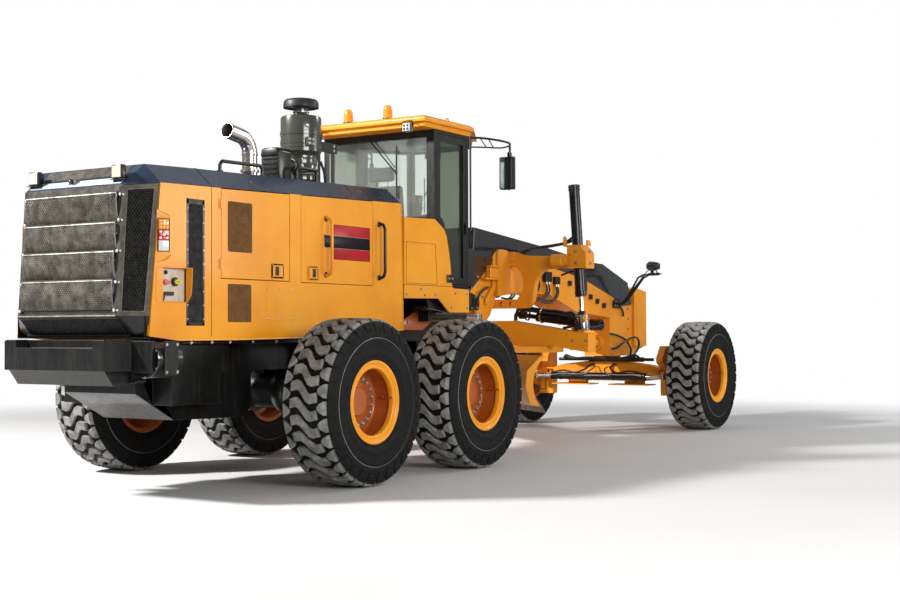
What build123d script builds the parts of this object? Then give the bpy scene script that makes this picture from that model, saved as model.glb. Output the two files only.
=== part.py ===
from build123d import *
import math
import os

# Motor grader, full size, millimetres, +Z up, +X towards the front axle, wheels on z = 0.
# Everything is laid out from the rear tandem wheel's centre (x = 0) and written out
# moved back by MIDDLE_X and MIDDLE_Y, so that the written pieces stand on the middle of the machine.

MIDDLE_X = 3387.0
MIDDLE_Y = 115.3075

TYRE_RADIUS = 746.5
TYRE_WIDTH = 521.0
RIM_FLANGE_RADIUS = 373.0
BEAD_RADIUS = 330.0
TRACK_REAR = 1398.5
TRACK_FRONT = 1446.5
TANDEM_FRONT_X = 1912.0
FRONT_AXLE_X = 8116.0
KINGPIN_Y = 1050.0

HOOD_HALF = 780.0
HOOD_TOP_HALF = 600.0
HOOD_WALL = 30.0
GRILLE_HALF = 577.0
BUMPER_X = -2196.0
BUMPER_HALF = 578.0

CAB_FLOOR_Z = 1850.0
CAB_HALF = 735.0
CAB_WALL = 60.0
ROOF_HALF = 800.0

HITCH_X = 3750.0
FRAME_HALF = 200.0
FRONT_FACE_X = 8970.0
# bolt holes of the nose plate
BOLT_Y, BOLT_LOW, BOLT_RISE, BOLT_R = 175.0, 1220.0, 340.0, 13.0

SADDLE_X = 4850.0
LIFT_TOP = (SADDLE_X, 1130.0, 3130.0)
LIFT_BOTTOM = (SADDLE_X, 1230.0, 1560.0)
DRAW_BALL = (7700.0, 0.0, 1200.0)

CIRCLE_X = 5000.0
CIRCLE_OUTER = 800.0
CIRCLE_INNER = 660.0
BLADE_ANGLE = -40.0
BLADE_LENGTH = 4270.0
BLADE_BOTTOM = 466.0
BLADE_TOP = 1095.0
BLADE_ARC = 400.0
BLADE_THICK = 25.0
BLADE_BACK = -230.0

os.makedirs("parts", exist_ok=True)


def write(name, *shapes):
    """Write one node, moved from the layout frame to the machine's own frame."""
    solids = []
    for shape in shapes:
        solids += list(shape.solids())
    solids = [Pos(-MIDDLE_X, -MIDDLE_Y, 0) * s for s in solids]
    for s in solids:
        if not s.is_valid or s.volume < 1000:
            print("LOOK AT", name, s.volume)
    body = solids[0] if len(solids) == 1 else Compound(children=solids)
    export_step(body, f"parts/{name}.step")


def box(x0, x1, y0, y1, z0, z1):
    return Pos((x0 + x1) / 2, (y0 + y1) / 2, (z0 + z1) / 2) * Box(abs(x1 - x0), abs(y1 - y0), abs(z1 - z0))


def prism(points, axis, lo, hi):
    """Outline swept along one axis: "x" takes (y, z), "y" takes (x, z), "z" takes (x, y)."""
    if axis == "x":
        plane = Plane((lo, 0, 0), x_dir=(0, 1, 0), z_dir=(1, 0, 0))
    elif axis == "y":
        plane = Plane((0, hi, 0), x_dir=(1, 0, 0), z_dir=(0, -1, 0))
    else:
        plane = Plane((0, 0, lo), x_dir=(1, 0, 0), z_dir=(0, 0, 1))
    return extrude(plane * Polygon(*points, align=None), hi - lo, dir=plane.z_dir)


def between(p, q):
    """Plane at p looking towards q."""
    d = Vector(*q) - Vector(*p)
    side = Vector(0, 0, 1) if abs(d.Z) < 0.9 * d.length else Vector(1, 0, 0)
    return Plane(p, x_dir=side.cross(d).normalized(), z_dir=d.normalized()), d.length


def rod(p, q, r):
    plane, length = between(p, q)
    return extrude(plane * Circle(r), length, dir=plane.z_dir)


def pipe(p, q, r, bore):
    return rod(p, q, r) - rod(p, q, bore)


def bar(p, q, w, h):
    """Square bar from p to q, w across and h upright."""
    plane, length = between(p, q)
    return extrude(plane * Rectangle(w, h), length, dir=plane.z_dir)


def bent(points, r, bend=None):
    """Round bar or pipe along straight legs with bent corners."""
    legs = [math.dist(a, b) for a, b in zip(points, points[1:])]
    path = FilletPolyline(*points, radius=min(bend or 2.2 * r, 0.45 * min(legs)))
    return sweep(Plane(origin=path @ 0, z_dir=path % 0) * Circle(r), path=path)


def turned(points, centre, axis):
    """Solid of revolution of (along, radius) points about an axis through centre."""
    face = Plane.XY * Polygon(*points, align=None)
    solid = revolve(face, Axis.X, 360)
    turn = {"x": Rot(0, 0, 0), "y": Rot(0, 0, 90), "z": Rot(0, -90, 0)}[axis]
    return Pos(*centre) * turn * solid


def mirrored(shape):
    return mirror(shape, about=Plane.XZ)


def both(shape):
    return [shape, mirrored(shape)]


def along(a, b, t):
    return tuple(a[i] + (b[i] - a[i]) * t for i in range(3))


# ---------------------------------------------------------------- wheels

HALF_TYRE = TYRE_WIDTH / 2
TYRE_SECTION = [
    (-218, BEAD_RADIUS), (218, BEAD_RADIUS), (218, RIM_FLANGE_RADIUS + 5), (246, 430), (HALF_TYRE, 520),
    (HALF_TYRE, 590), (250, 670), (228, 725), (160, TYRE_RADIUS), (-160, TYRE_RADIUS), (-228, 725),
    (-250, 670), (-HALF_TYRE, 590), (-HALF_TYRE, 520), (-246, 430), (-218, RIM_FLANGE_RADIUS + 5),
]
# Half section of the rim and hub; +along is outboard. The dish is deep, its bolted flange lies well inside the rim.
RIM_SECTION = [
    (-236, 312), (150, 312), (166, 296), (230, 296), (236, 302), (236, RIM_FLANGE_RADIUS), (222, RIM_FLANGE_RADIUS), (222, BEAD_RADIUS),
    (-222, BEAD_RADIUS), (-222, RIM_FLANGE_RADIUS), (-236, RIM_FLANGE_RADIUS),
]
HUB_SECTION = [
    (-30, 100), (-30, 320), (-5, 320), (-5, 275), (20, 261), (32, 255), (32, 135), (52, 125), (52, 0), (10, 0), (10, 100),
]
STUB_END = 5.0

WHEELS = [  # name, x, y of the wheel's centre
    ("wheel_rear_right", 0.0, -TRACK_REAR),
    ("wheel_middle_right", TANDEM_FRONT_X, -TRACK_REAR),
    ("wheel_rear_left", 0.0, TRACK_REAR),
    ("wheel_middle_left", TANDEM_FRONT_X, TRACK_REAR),
    ("wheel_front_right", FRONT_AXLE_X, -TRACK_FRONT),
    ("wheel_front_left", FRONT_AXLE_X, TRACK_FRONT),
]
for name, x, y in WHEELS:
    centre = (x, y, TYRE_RADIUS)
    tyre = turned(TYRE_SECTION, centre, "y")
    rim = turned(RIM_SECTION, (0, 0, 0), "y") + turned(HUB_SECTION, (0, 0, 0), "y")
    if y < 0:
        rim = mirrored(rim)
    rim = Pos(*centre) * rim
    write("tyre_" + name[6:], tyre)
    write("rim_" + name[6:], rim)

# ---------------------------------------------------------------- rear axle: housing, tandem cases, stubs

AXLE_X = TANDEM_FRONT_X / 2
CASE_IN, CASE_OUT = 800.0, 1060.0
case_outline = [(-230, 620), (-140, 560), (TANDEM_FRONT_X + 140, 560), (TANDEM_FRONT_X + 230, 620), (TANDEM_FRONT_X + 230, 880),
                (TANDEM_FRONT_X + 120, 940), (AXLE_X + 300, 960), (AXLE_X, 1010), (AXLE_X - 300, 960), (-120, 940), (-230, 880)]
case = prism(case_outline, "y", CASE_IN, CASE_OUT)
for x in (0.0, TANDEM_FRONT_X):
    case = case + rod((x, CASE_OUT - 10, TYRE_RADIUS), (x, 1130, TYRE_RADIUS), 190)
    case = case + rod((x, 1120, TYRE_RADIUS), (x, TRACK_REAR + STUB_END, TYRE_RADIUS), 90)
case = case + rod((AXLE_X, 560, 790), (AXLE_X, CASE_IN + 10, 790), 230)
housing = rod((AXLE_X, -600, 790), (AXLE_X, 600, 790), 190) + Pos(AXLE_X, 0, 790) * Sphere(290)
rear_axle = housing + case + mirrored(case)
write("rear_axle", rear_axle)

# ---------------------------------------------------------------- rear frame under the hood and the cab

rail = box(-1900, 2300, 300, 420, 1020, 1290)
frame = rail + mirrored(rail)
for x0, x1, z0, z1 in ((-1900, -1780, 960, 1290), (-900, -780, 1020, 1290), (420, 560, 1020, 1290), (1380, 1520, 1020, 1290), (2180, 2300, 1020, 1290)):
    frame = frame + box(x0, x1, -620, 620, z0, z1)
# deck that closes the frame under the hood
frame = frame + box(-1900, 2300, -700, 700, 1270, 1300)
# sloped belly guard under the engine
belly = prism([(-1700, 860), (-1250, 620), (-350, 600), (-250, 700), (-250, 1030), (-1700, 1030)], "y", -420, 420)
belly = belly - prism([(-1670, 870), (-1240, 650), (-360, 630), (-280, 710), (-280, 1010), (-1670, 1010)], "y", -390, 390)
frame = frame + belly
# tanks beside the rear wheels and the side stays
for s in (1, -1):
    frame = frame + box(-1500, -900, s * 420, s * 640, 760, 1280)
    frame = frame + prism([(-1900, 1290), (-1500, 1290), (-1500, 1000), (-1900, 1150)], "y", min(s * 600, s * 640), max(s * 600, s * 640))
# saddle blocks that sit on the axle
for s in (1, -1):
    frame = frame + box(AXLE_X - 170, AXLE_X + 170, s * 300, s * 420, 950, 1030)
frame = frame - rod((AXLE_X, -700, 790), (AXLE_X, 700, 790), 191) - Pos(AXLE_X, 0, 790) * Sphere(291)
# cab platform, chamfered below, and the neck that runs forward to the hitch
neck = prism([(1640, 1300), (2300, 1290), (3560, 1290), (3560, 1790), (3300, 1845), (1640, 1845)], "y", -190, 190)
deck = box(1640, 3080, -735, 735, 1800, 1845)
frame = frame + neck + deck
for s in (1, -1):
    bracket = prism([(2200, 1805), (2290, 1620), (2760, 1560), (3000, 1600), (3060, 1805)], "y", min(s * 660, s * 700), max(s * 660, s * 700))
    frame = frame + bracket + box(2380, 2480, min(s * 180, s * 670), max(s * 180, s * 670), 1640, 1805)
    frame = frame + box(2780, 2880, min(s * 180, s * 670), max(s * 180, s * 670), 1640, 1805)
front_deck = prism([(3070, 735), (3600, 380), (3600, -380), (3070, -735)], "z", 1800, 1845)
frame = frame + front_deck
# fork ears of the articulation hitch
for z0, z1 in ((1290, 1350), (1730, 1790)):
    ear = box(3550, HITCH_X, -150, 150, z0, z1) + rod((HITCH_X, 0, z0), (HITCH_X, 0, z1), 150)
    frame = frame + ear
frame = frame + rod((HITCH_X, 0, 1300), (HITCH_X, 0, 1780), 50)
# room for the round canister beside the bumper
frame = frame - box(-1910, -1630, -900, -590, 990, 1301)
write("rear_frame", frame)

# ears that hold the articulation cylinders
STEER_Y = 420.0
ART_Z = 1540.0
ART_FRONT_X = 3900.0
barrels = []
for s in (1, -1):
    holder = box(2620, 2700, s * 190, s * (STEER_Y + 60), 1480, 1600)
    barrel = pipe((2690, s * STEER_Y, ART_Z), (3420, s * STEER_Y, ART_Z), 62, 48)
    cap = rod((2680, s * STEER_Y, ART_Z), (2710, s * STEER_Y, ART_Z), 62)
    barrels.append(holder + barrel + cap)
write("articulation_barrels", *barrels)
for s, name in ((-1, "right"), (1, "left")):
    art_rod = rod((2880, s * STEER_Y, ART_Z), (HITCH_X - 50, s * STEER_Y, ART_Z), 40)
    art_rod = art_rod + rod((HITCH_X, s * STEER_Y, 1508), (HITCH_X, s * STEER_Y, 1572), 60)
    write(f"articulation_rod_{name}", art_rod)

# ---------------------------------------------------------------- rear bumper and engine

bumper = prism([(BUMPER_X, -BUMPER_HALF), (-1900, -650), (-1900, 650), (BUMPER_X, BUMPER_HALF)], "z", 1060, 1308)
bumper = bumper - box(BUMPER_X - 10, -2080, -450, 450, 1244, 1320)
lower = prism([(BUMPER_X + 20, 1065), (-2080, 940), (-1905, 940), (-1905, 1065)], "y", -560, 560)
bumper = bumper + lower
for s in (1, -1):
    bumper = bumper + box(-1960, -1905, min(s * 600, s * 850), max(s * 600, s * 850), 1050, 1300)
drum = rod((-1905, -745, 1150), (-1640, -745, 1150), 150)
write("rear_bumper", bumper, drum)

engine = box(-900, 1050, -330, 330, 1310, 2350)
radiator = box(-1700, -1050, -520, 520, 1310, 2480)
write("engine_block", engine, radiator)

# ---------------------------------------------------------------- hood

# Stations along the hood: x, height of the side edge, height of the top's edge, half widths of the two edges.
HOOD_STATIONS = [
    (-1990, 2552, 2562, 577, 560),
    (-1782, 2578, 2740, 780, 600),
    (-1180, 2593, 2762, 780, 600),
    (1660, 2676, 2832, 780, 600),
]


def hood_section(x, side_z, top_z, side_y, top_y, inset):
    drop = 0 if inset == 0 else inset * 1.05
    low = side_z - 1 if inset else side_z
    return Plane((x, 0, 0), x_dir=(0, 1, 0), z_dir=(1, 0, 0)) * Polygon(
        (-side_y + drop, low), (-top_y + inset * 0.4, top_z - inset), (top_y - inset * 0.4, top_z - inset), (side_y - drop, low), align=None)


def hood_shell(stations, inset):
    shape = None
    for a, b in zip(stations, stations[1:]):
        piece = loft([hood_section(*a, inset), hood_section(*b, inset)], ruled=True)
        shape = piece if shape is None else shape + piece
    return shape


hood_outer = hood_shell(HOOD_STATIONS, 0)
inner_stations = [list(s) for s in HOOD_STATIONS]
inner_stations[0] = (-1770, 2579, 2742, 780, 600)
hood_inner = hood_shell([inner_stations[0]] + HOOD_STATIONS[2:], HOOD_WALL)
hood_top = hood_outer - hood_inner
# holes for the exhaust stack and the air cleaner's duct
hood_top = hood_top - rod((-190, -350, 2600), (-190, -350, 3000), 90) - rod((567, -350, 2600), (567, -350, 3000), 110)
write("hood_top", hood_top)

DOOR_GAP = 6.0
DOORS = [  # node, hinge x, free edge x, bottom z
    ("rear", -1056.0, -142.0, 1828.0),
    ("front", 1158.0, 28.0, 1825.0),
]


def edge_z(x):
    """Height of the hood's side edge at x."""
    for a, b in zip(HOOD_STATIONS[1:], HOOD_STATIONS[2:]):
        if a[0] <= x <= b[0]:
            return a[1] + (b[1] - a[1]) * (x - a[0]) / (b[0] - a[0])
    return HOOD_STATIONS[1][1]


side_outline = [(-1905, 1340), (-1560, 1305), (-820, 1305), (300, 1320), (1706, 1385), (1660, 2676), (-1180, 2593), (-1782, 2578)]
side = prism(side_outline, "y", -HOOD_HALF, -HOOD_HALF + HOOD_WALL)
for key, hinge, free, low in DOORS:
    a, b = min(hinge, free), max(hinge, free)
    side = side - prism([(a - DOOR_GAP, low - DOOR_GAP), (b + DOOR_GAP, low - DOOR_GAP), (b + DOOR_GAP, edge_z(b) + 5), (a - DOOR_GAP, edge_z(a) + 5)],
                        "y", -HOOD_HALF - 5, -HOOD_HALF + HOOD_WALL + 5)
# frame that carries the top strip behind the doors, the recess of the isolator, the vent and the lamp pocket
side = side + prism([(-1300, 2540), (1640, 2620), (1640, 2664), (-1300, 2580)], "y", -HOOD_HALF + HOOD_WALL + 6, -HOOD_HALF + HOOD_WALL + 36)
side = side + box(-100, -20, -HOOD_HALF + HOOD_WALL, -HOOD_HALF + HOOD_WALL + 36, 1700, 2612)
side = side + box(-1300, -1120, -HOOD_HALF + HOOD_WALL, -HOOD_HALF + HOOD_WALL + 36, 1500, 2578)
side = side + box(1200, 1600, -HOOD_HALF + HOOD_WALL, -HOOD_HALF + HOOD_WALL + 36, 1500, 2650)
side = side - box(-1755, -1489, -HOOD_HALF - 5, -HOOD_HALF + 22, 1616, 1892)
side = side - box(-1483, -1265, -HOOD_HALF - 5, -HOOD_HALF + 15, 1422, 2475)
write("hood_sides", side, mirrored(side))

# grab rails stand on the front doors, and one on the panel in front of them
def side_rail(x, reach, z0, z1, face, r):
    return bent([(x, face, z0), (x, face - reach * 0.8, z0 + 25), (x, face - reach, z0 + 70), (x, face - reach, z1 - 70), (x, face - reach * 0.8, z1 - 25), (x, face, z1)], r)


LATCH_X = {"rear": -318, "front": 196}
for key, hinge, free, low in DOORS:
    a, b = min(hinge, free), max(hinge, free)
    panel = prism([(a, low), (b, low), (b, edge_z(b) - DOOR_GAP), (a, edge_z(a) - DOOR_GAP)], "y", -HOOD_HALF, -HOOD_HALF + HOOD_WALL)
    latch_x = LATCH_X[key]
    panel = panel + box(latch_x - 80, latch_x + 80, -HOOD_HALF - 12, -HOOD_HALF + 2, 1850, 1978)
    if key == "front":
        panel = panel + side_rail(400, 75, 1890, 2450, -HOOD_HALF + 2, 15)
    write(f"engine_door_right_{key}", panel)
    write(f"engine_door_left_{key}", mirrored(panel))

# ---------------------------------------------------------------- rear grille and its screens

def ring_loft(low, high, z0, z1):
    faces = [Plane((0, 0, z), x_dir=(1, 0, 0), z_dir=(0, 0, 1)) * Polygon(*pts, align=None) for pts, z in ((low, z0), (high, z1))]
    return loft(faces, ruled=True)


GRILLE_LOW_Z, GRILLE_HIGH_Z = 1501.0, 2548.0
low_out = [(-1905, -772), (-2065, -GRILLE_HALF), (-2065, GRILLE_HALF), (-1905, 772)]
high_out = [(-1790, -772), (-1995, -GRILLE_HALF), (-1995, GRILLE_HALF), (-1790, 772)]
low_in = [(-1850, -740), (-2025, -545), (-2025, 545), (-1850, 740)]
high_in = [(-1735, -740), (-1955, -545), (-1955, 545), (-1735, 740)]
grille = ring_loft(low_out, high_out, GRILLE_LOW_Z, GRILLE_HIGH_Z) - ring_loft(low_in, high_in, GRILLE_LOW_Z - 1, GRILLE_HIGH_Z + 1)
LOUVRES = [(1530, 1752), (1788, 2002), (2038, 2252), (2288, 2520)]


def rear_x(z):
    return -2065 + 70 * (z - GRILLE_LOW_Z) / (GRILLE_HIGH_Z - GRILLE_LOW_Z)


screens = []
for z0, z1 in LOUVRES:
    grille = grille - box(-2200, -1900, -540, 540, z0, z1)
    xa, xb = rear_x(z0), rear_x(z1)
    # each screen bows outward in the middle
    screens.append(prism([(xa + 28, z0 + 2), (xa + 12, z0 + 2), (xa - 6, z0 + 50), (xa - 12, (z0 + z1) / 2), (xb - 6, z1 - 50), (xb + 12, z1 - 2),
                          (xb + 28, z1 - 2)], "y", -537, 537))
for s in (1, -1):
    # corner opening, in the chamfered face
    opening = Pos(-1940, s * 675, 2030) * Rot(0, 0, s * 50.9) * Box(300, 165, 920)
    grille = grille - opening
    pts_low = [(-1912, s * 758), (-2046, s * 596), (-2036, s * 588), (-1902, s * 750)]
    pts_high = [(-1812, s * 758), (-1986, s * 596), (-1976, s * 588), (-1802, s * 750)]
    corner = ring_loft(pts_low, pts_high, 1560, 2500)
    screens.append(corner & (Pos(-1940, s * 675, 2030) * Rot(0, 0, s * 50.9) * Box(300, 161, 916)))
# sloped closing plate below the grille
apron = prism([(-2063, 1500), (-1935, 1345), (-1905, 1345), (-2030, 1500)], "y", -570, 570)
for s in (1, -1):
    apron = apron + prism([(s * 570, 1500), (s * 765, 1500), (s * 765, 1345), (s * 570, 1345)], "x", -1930, -1906)
grille = grille + apron
write("rear_grille", grille, *screens)

# ---------------------------------------------------------------- exhaust and air cleaner

EXHAUST_X, STACK_Y = -190.0, -350.0
stack = bent([(EXHAUST_X, STACK_Y, 2560), (EXHAUST_X, STACK_Y, 3166), (EXHAUST_X - 400, STACK_Y, 3152)], 70, 105)
# outlet cut at a slant and bored
cutter = prism([(-700, 3000), (-535, 3000), (-480, 3260), (-700, 3260)], "y", -500, -200)
stack = stack - cutter
stack = stack - rod((EXHAUST_X - 400, STACK_Y, 3152), (EXHAUST_X - 130, STACK_Y, 3161.5), 64)
stack = stack + rod((EXHAUST_X, STACK_Y, 2840), (EXHAUST_X, STACK_Y, 2865), 85)
write("exhaust_stack", stack)

CLEANER_X = 567.0
CLEANER_SECTION = [(2560, 0), (2560, 72), (2806, 72), (2828, 140), (3092, 140), (3100, 198), (3450, 198), (3470, 150), (3480, 72), (3520, 72), (3520, 170),
                   (3560, 172), (3610, 150), (3630, 90), (3630, 0)]
cleaner = turned(CLEANER_SECTION, (CLEANER_X, STACK_Y, 0), "z")
cleaner = cleaner + rod((CLEANER_X, STACK_Y, 3265), (CLEANER_X, STACK_Y, 3300), 204)
snorkel = box(100, 290, STACK_Y - 110, STACK_Y + 110, 2815, 3120) + box(280, 432, STACK_Y - 60, STACK_Y + 60, 2900, 3040)
snorkel = snorkel - rod((CLEANER_X, STACK_Y, 2800), (CLEANER_X, STACK_Y, 3200), 141)
write("air_cleaner", cleaner, snorkel)

# ---------------------------------------------------------------- rails, lamps

rails = []
for s in (1, -1):
    rails.append(bent([(-820, s * 550, 2770), (-820, s * 550, 2840), (-790, s * 550, 2870), (-280, s * 550, 2880), (-250, s * 550, 2850), (-250, s * 550, 2790)], 16))
    rails.append(bent([(250, s * 550, 2810), (250, s * 550, 2895), (280, s * 550, 2920), (520, s * 550, 2920), (550, s * 550, 2895), (550, s * 550, 2810)], 16))
    hood_rail = side_rail(1265, 75, 1890, 2450, -HOOD_HALF, 15) - box(1165, 1365, -HOOD_HALF, -700, 1800, 2500)
    rails.append(hood_rail if s < 0 else mirrored(hood_rail))
rails = [r - hood_outer for r in rails]

lamps = []
for s in (1, -1):
    lamps.append(box(-1988, -1912, min(s * 430, s * 550), max(s * 430, s * 550), 2606, 2722) - hood_outer)
    # wedge housing at the rear corner, its lamp faces back and outward
    wedge = prism([(-1826, s * (HOOD_HALF + 0.5)), (-1738, s * 843), (-1726, s * 843), (-1690, s * (HOOD_HALF + 0.5))], "z", 1975, 2310)
    wedge = wedge + prism([(-1816, s * 787), (-1826, s * 801), (-1756, s * 851), (-1746, s * 837)], "z", 2018, 2286)
    lamps.append(wedge)

# ---------------------------------------------------------------- cab

CAB_TOP_Z = 3530.0
CAB_PLAN = [(2350, -CAB_HALF), (3050, -CAB_HALF), (3600, -390), (3600, 390), (3050, CAB_HALF), (2350, CAB_HALF)]
CAB_INNER = [(2350 + CAB_WALL, -CAB_HALF + CAB_WALL), (3033, -CAB_HALF + CAB_WALL), (3540, -357), (3540, 357), (3033, CAB_HALF - CAB_WALL), (2350 + CAB_WALL, CAB_HALF - CAB_WALL)]
shell = prism(CAB_PLAN, "z", 1850, CAB_TOP_Z) - prism(CAB_INNER, "z", 1900, CAB_TOP_Z - 40)
REAR_GLASS = (-640, 640, 2600, 3460)
FRONT_GLASS = (-335, 335, 1960, 3460)
shell = shell - box(2300, 2500, *REAR_GLASS) - box(3450, 3700, *FRONT_GLASS)
# corner windows: the opening follows the slanting corner face
corner_angle = math.degrees(math.atan2(CAB_HALF - 390, 3600 - 3050))
corner_mid = (3325, (CAB_HALF + 390) / 2, 2710)
for s in (1, -1):
    shell = shell - Pos(corner_mid[0], s * corner_mid[1], corner_mid[2]) * Rot(0, 0, -s * corner_angle) * Box(520, 200, 1500)
# door outline: upright at the front, cut round the mudguard at the lower rear corner
DOOR_OUTLINE = [(2404, 3490), (3010, 3490), (3010, 1880), (2650, 1880), (2600, 2180), (2540, 2400), (2490, 2500), (2404, 2592)]
DOOR_CUT = [(2395, 3496), (3016, 3496), (3016, 1874), (2644, 1874), (2594, 2178), (2534, 2396), (2485, 2494), (2395, 2586)]
DOOR_PANE = [(2474, 3420), (2940, 3420), (2940, 1950), (2708, 1950), (2668, 2195), (2602, 2432), (2530, 2560), (2474, 2604)]
for s in (1, -1):
    shell = shell - prism(DOOR_CUT, "y", min(s * 660, s * 760), max(s * 660, s * 760))

panes = [box(2376, 2384, *REAR_GLASS), box(3566, 3574, *FRONT_GLASS)]
for s in (1, -1):
    pane = Pos(corner_mid[0] - 15, s * (corner_mid[1] - 22), corner_mid[2]) * Rot(0, 0, -s * corner_angle) * Box(520, 8, 1500)
    panes.append(pane)
for pane in panes:
    shell = shell - pane
write("cab_shell", shell)
write("cab_windows", *panes)

door_panel = prism(DOOR_OUTLINE, "y", -CAB_HALF, -CAB_HALF + CAB_WALL) - prism(DOOR_PANE, "y", -CAB_HALF - 5, -CAB_HALF + CAB_WALL + 5)
door_panel = door_panel + box(2950, 2995, -CAB_HALF - 35, -CAB_HALF + 1, 2440, 2560)
door_glass = prism(DOOR_PANE, "y", -CAB_HALF + 24, -CAB_HALF + 32)
write("cab_door_right", door_panel)
write("cab_door_left", mirrored(door_panel))
write("cab_door_glass_right", door_glass)
write("cab_door_glass_left", mirrored(door_glass))

roof_low = [(2120, -760), (3050, -760), (3690, -400), (3690, 400), (3050, 760), (2120, 760)]
roof_edge = [(2080, -ROOF_HALF), (3070, -ROOF_HALF), (3750, -420), (3750, 420), (3070, ROOF_HALF), (2080, ROOF_HALF)]
roof_top = [(2130, -750), (3055, -750), (3690, -390), (3690, 390), (3055, 750), (2130, 750)]
roof = prism(roof_low, "z", CAB_TOP_Z, 3582) + prism(roof_edge, "z", 3580, 3625) + ring_loft(roof_edge, roof_top, 3625, 3652)
write("cab_roof", roof)

beacons = []
for y in (360, -170):
    beacon = turned([(3652, 0), (3652, 62), (3690, 62), (3695, 52), (3800, 48), (3828, 30), (3832, 0)], (2300, y, 0), "z")
    beacons.append(beacon)
work_lamps = []
for s in (1, -1):
    lamp = box(2010, 2080, min(s * 410, s * 530), max(s * 410, s * 530), 3540, 3640)
    work_lamps.append(lamp)
write("rear_lamps", *lamps, *work_lamps, *beacons)

# mudguard-like orange casing between the hood and the cab door, hollow and open below
outer = prism([(1715, 1850), (2638, 1850), (2588, 2176), (2528, 2392), (2478, 2463), (2300, 2560), (1715, 2540)], "y", -HOOD_HALF, HOOD_HALF)
inner = prism([(1740, 1846), (2500, 1846), (2500, 2176), (2450, 2392), (2420, 2448), (2340, 2500), (2300, 2528), (1740, 2510)], "y", -HOOD_HALF + 30, HOOD_HALF - 30)
casing = outer - inner
# the cab stands inside the casing
casing = casing - box(2340, 3700, -CAB_HALF - 6, CAB_HALF + 6, 1840, 3600)
# lower skirt of the cab, one plate on each side
SKIRT = [(1715, 1856), (1715, 1710), (2360, 1718), (2578, 1572), (2985, 1576), (2985, 1826), (2665, 1834), (2636, 1856)]
for s in (1, -1):
    casing = casing + prism(SKIRT, "y", min(s * 766, s * HOOD_HALF), max(s * 766, s * HOOD_HALF))
write("cab_casing", casing)

# seat and controls
seat_base = box(2560, 2900, -200, 200, 1900, 2120) + box(2520, 2940, -230, 230, 2120, 2180)
cushion = box(2540, 3020, -245, 245, 2180, 2300)
backrest = prism([(2600, 2300), (2480, 2300), (2420, 2980), (2500, 2990)], "y", -235, 235)
write("operator_seat", seat_base + cushion + backrest)
column = prism([(3330, 1900), (3450, 1900), (3400, 2480), (3290, 2560), (3240, 2520), (3320, 2440)], "y", -110, 110)
arms = []
for s in (1, -1):
    arms.append(box(2700, 3020, min(s * 290, s * 400), max(s * 290, s * 400), 2380, 2440) + box(2740, 2800, min(s * 300, s * 380), max(s * 300, s * 380), 1900, 2385))
wheel = Pos(3230, 0, 2610) * Rot(0, -35, 0) * Torus(190, 16)
spokes = Pos(3230, 0, 2610) * Rot(0, -35, 0) * (Box(30, 370, 14) + Cylinder(45, 40))
write("control_console", column + wheel + spokes, *arms)

# mirrors on their arms
mirror_parts = []
for s in (1, -1):
    arm = bent([(3100, s * 725, 3500), (3180, s * 790, 3505), (3590, s * 950, 3505), (3590, s * 950, 3340)], 14)
    stay = rod((3130, s * 700, 3300), (3400, s * 876, 3500), 10)
    head = box(3530, 3610, min(s * 850, s * 1050), max(s * 850, s * 1050), 2960, 3350)
    arm = arm - prism(CAB_PLAN, "z", 1850, CAB_TOP_Z + 10) - roof
    stay = stay - prism(CAB_PLAN, "z", 1850, CAB_TOP_Z)
    mirror_parts.append(arm + stay + head)
write("mirrors", *mirror_parts)

cab_rails = []
for s in (1, -1):
    post_y = s * 745
    cab_rails.append(rod((3080, post_y, 2490), (3080, post_y, 3525), 11) - prism(CAB_PLAN, "z", 1800, 3600))
write("handrails", *rails, *cab_rails)

# ---------------------------------------------------------------- front frame

COVER_LOW = [(3970, 1860), (4710, 2370), (6930, 2090), (7920, 1840), (7980, 1710), (8500, 1750)]
COVER_TOP = [(8370, 2070), (7540, 2310), (7130, 2322), (5900, 2455), (4800, 2550), (4040, 2610)]
beam_outline = [(3900, 1356), (4160, 1356), (4420, 1560), (4600, 1845), (5880, 1860), (6660, 1640), (7780, 1560), (7780, 1010), (8450, 1010),
                (8970, 1140), (8970, 1950), (8540, 2010), (8540, 1760), (8500, 1750), (7980, 1710), (7920, 1840), (6930, 2090), (4710, 2370),
                (3970, 1860), (3900, 1724)]
beam = prism(beam_outline, "y", -FRAME_HALF, FRAME_HALF)
# lug of the hitch, bored for the pin, with side ears for the articulation cylinders
lug = rod((HITCH_X, 0, 1356), (HITCH_X, 0, 1724), 120) + box(HITCH_X, 3920, -110, 110, 1356, 1724)
for s in (1, -1):
    for z0, z1 in ((1470, 1500), (1580, 1610)):
        lug = lug + box(HITCH_X - 45, HITCH_X + 45, min(s * 60, s * STEER_Y), max(s * 60, s * STEER_Y), z0, z1) + rod((HITCH_X, s * STEER_Y, z0), (HITCH_X, s * STEER_Y, z1), 62)
lug = lug - rod((HITCH_X, 0, 1300), (HITCH_X, 0, 1780), 56)
front = beam + lug
# front post and the bolster that stands over the axle
front = front + prism([(8540, 1140), (8970, 1140), (8970, 1950), (8540, 2010)], "y", -235, 235)
for y in (-BOLT_Y, BOLT_Y):
    for z in (BOLT_LOW, BOLT_LOW + BOLT_RISE):
        front = front - rod((8930, y, z), (8980, y, z), BOLT_R)
for x0, x1 in ((7985, 8020), (8212, 8247)):
    front = front + prism([(-150, 1012), (150, 1012), (110, 700), (-110, 700)], "x", x0, x1)
# socket of the drawbar's ball
front = front + pipe((7690, 0, 1200), (7785, 0, 1200), 115, 78)
# lower flanges of the beam
front = front + prism([(4640, 1835), (5880, 1850), (6660, 1630), (7780, 1550), (7780, 1575), (6660, 1655), (5880, 1875), (4640, 1860)], "y", -235, 235)
write("front_frame", front)

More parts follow.
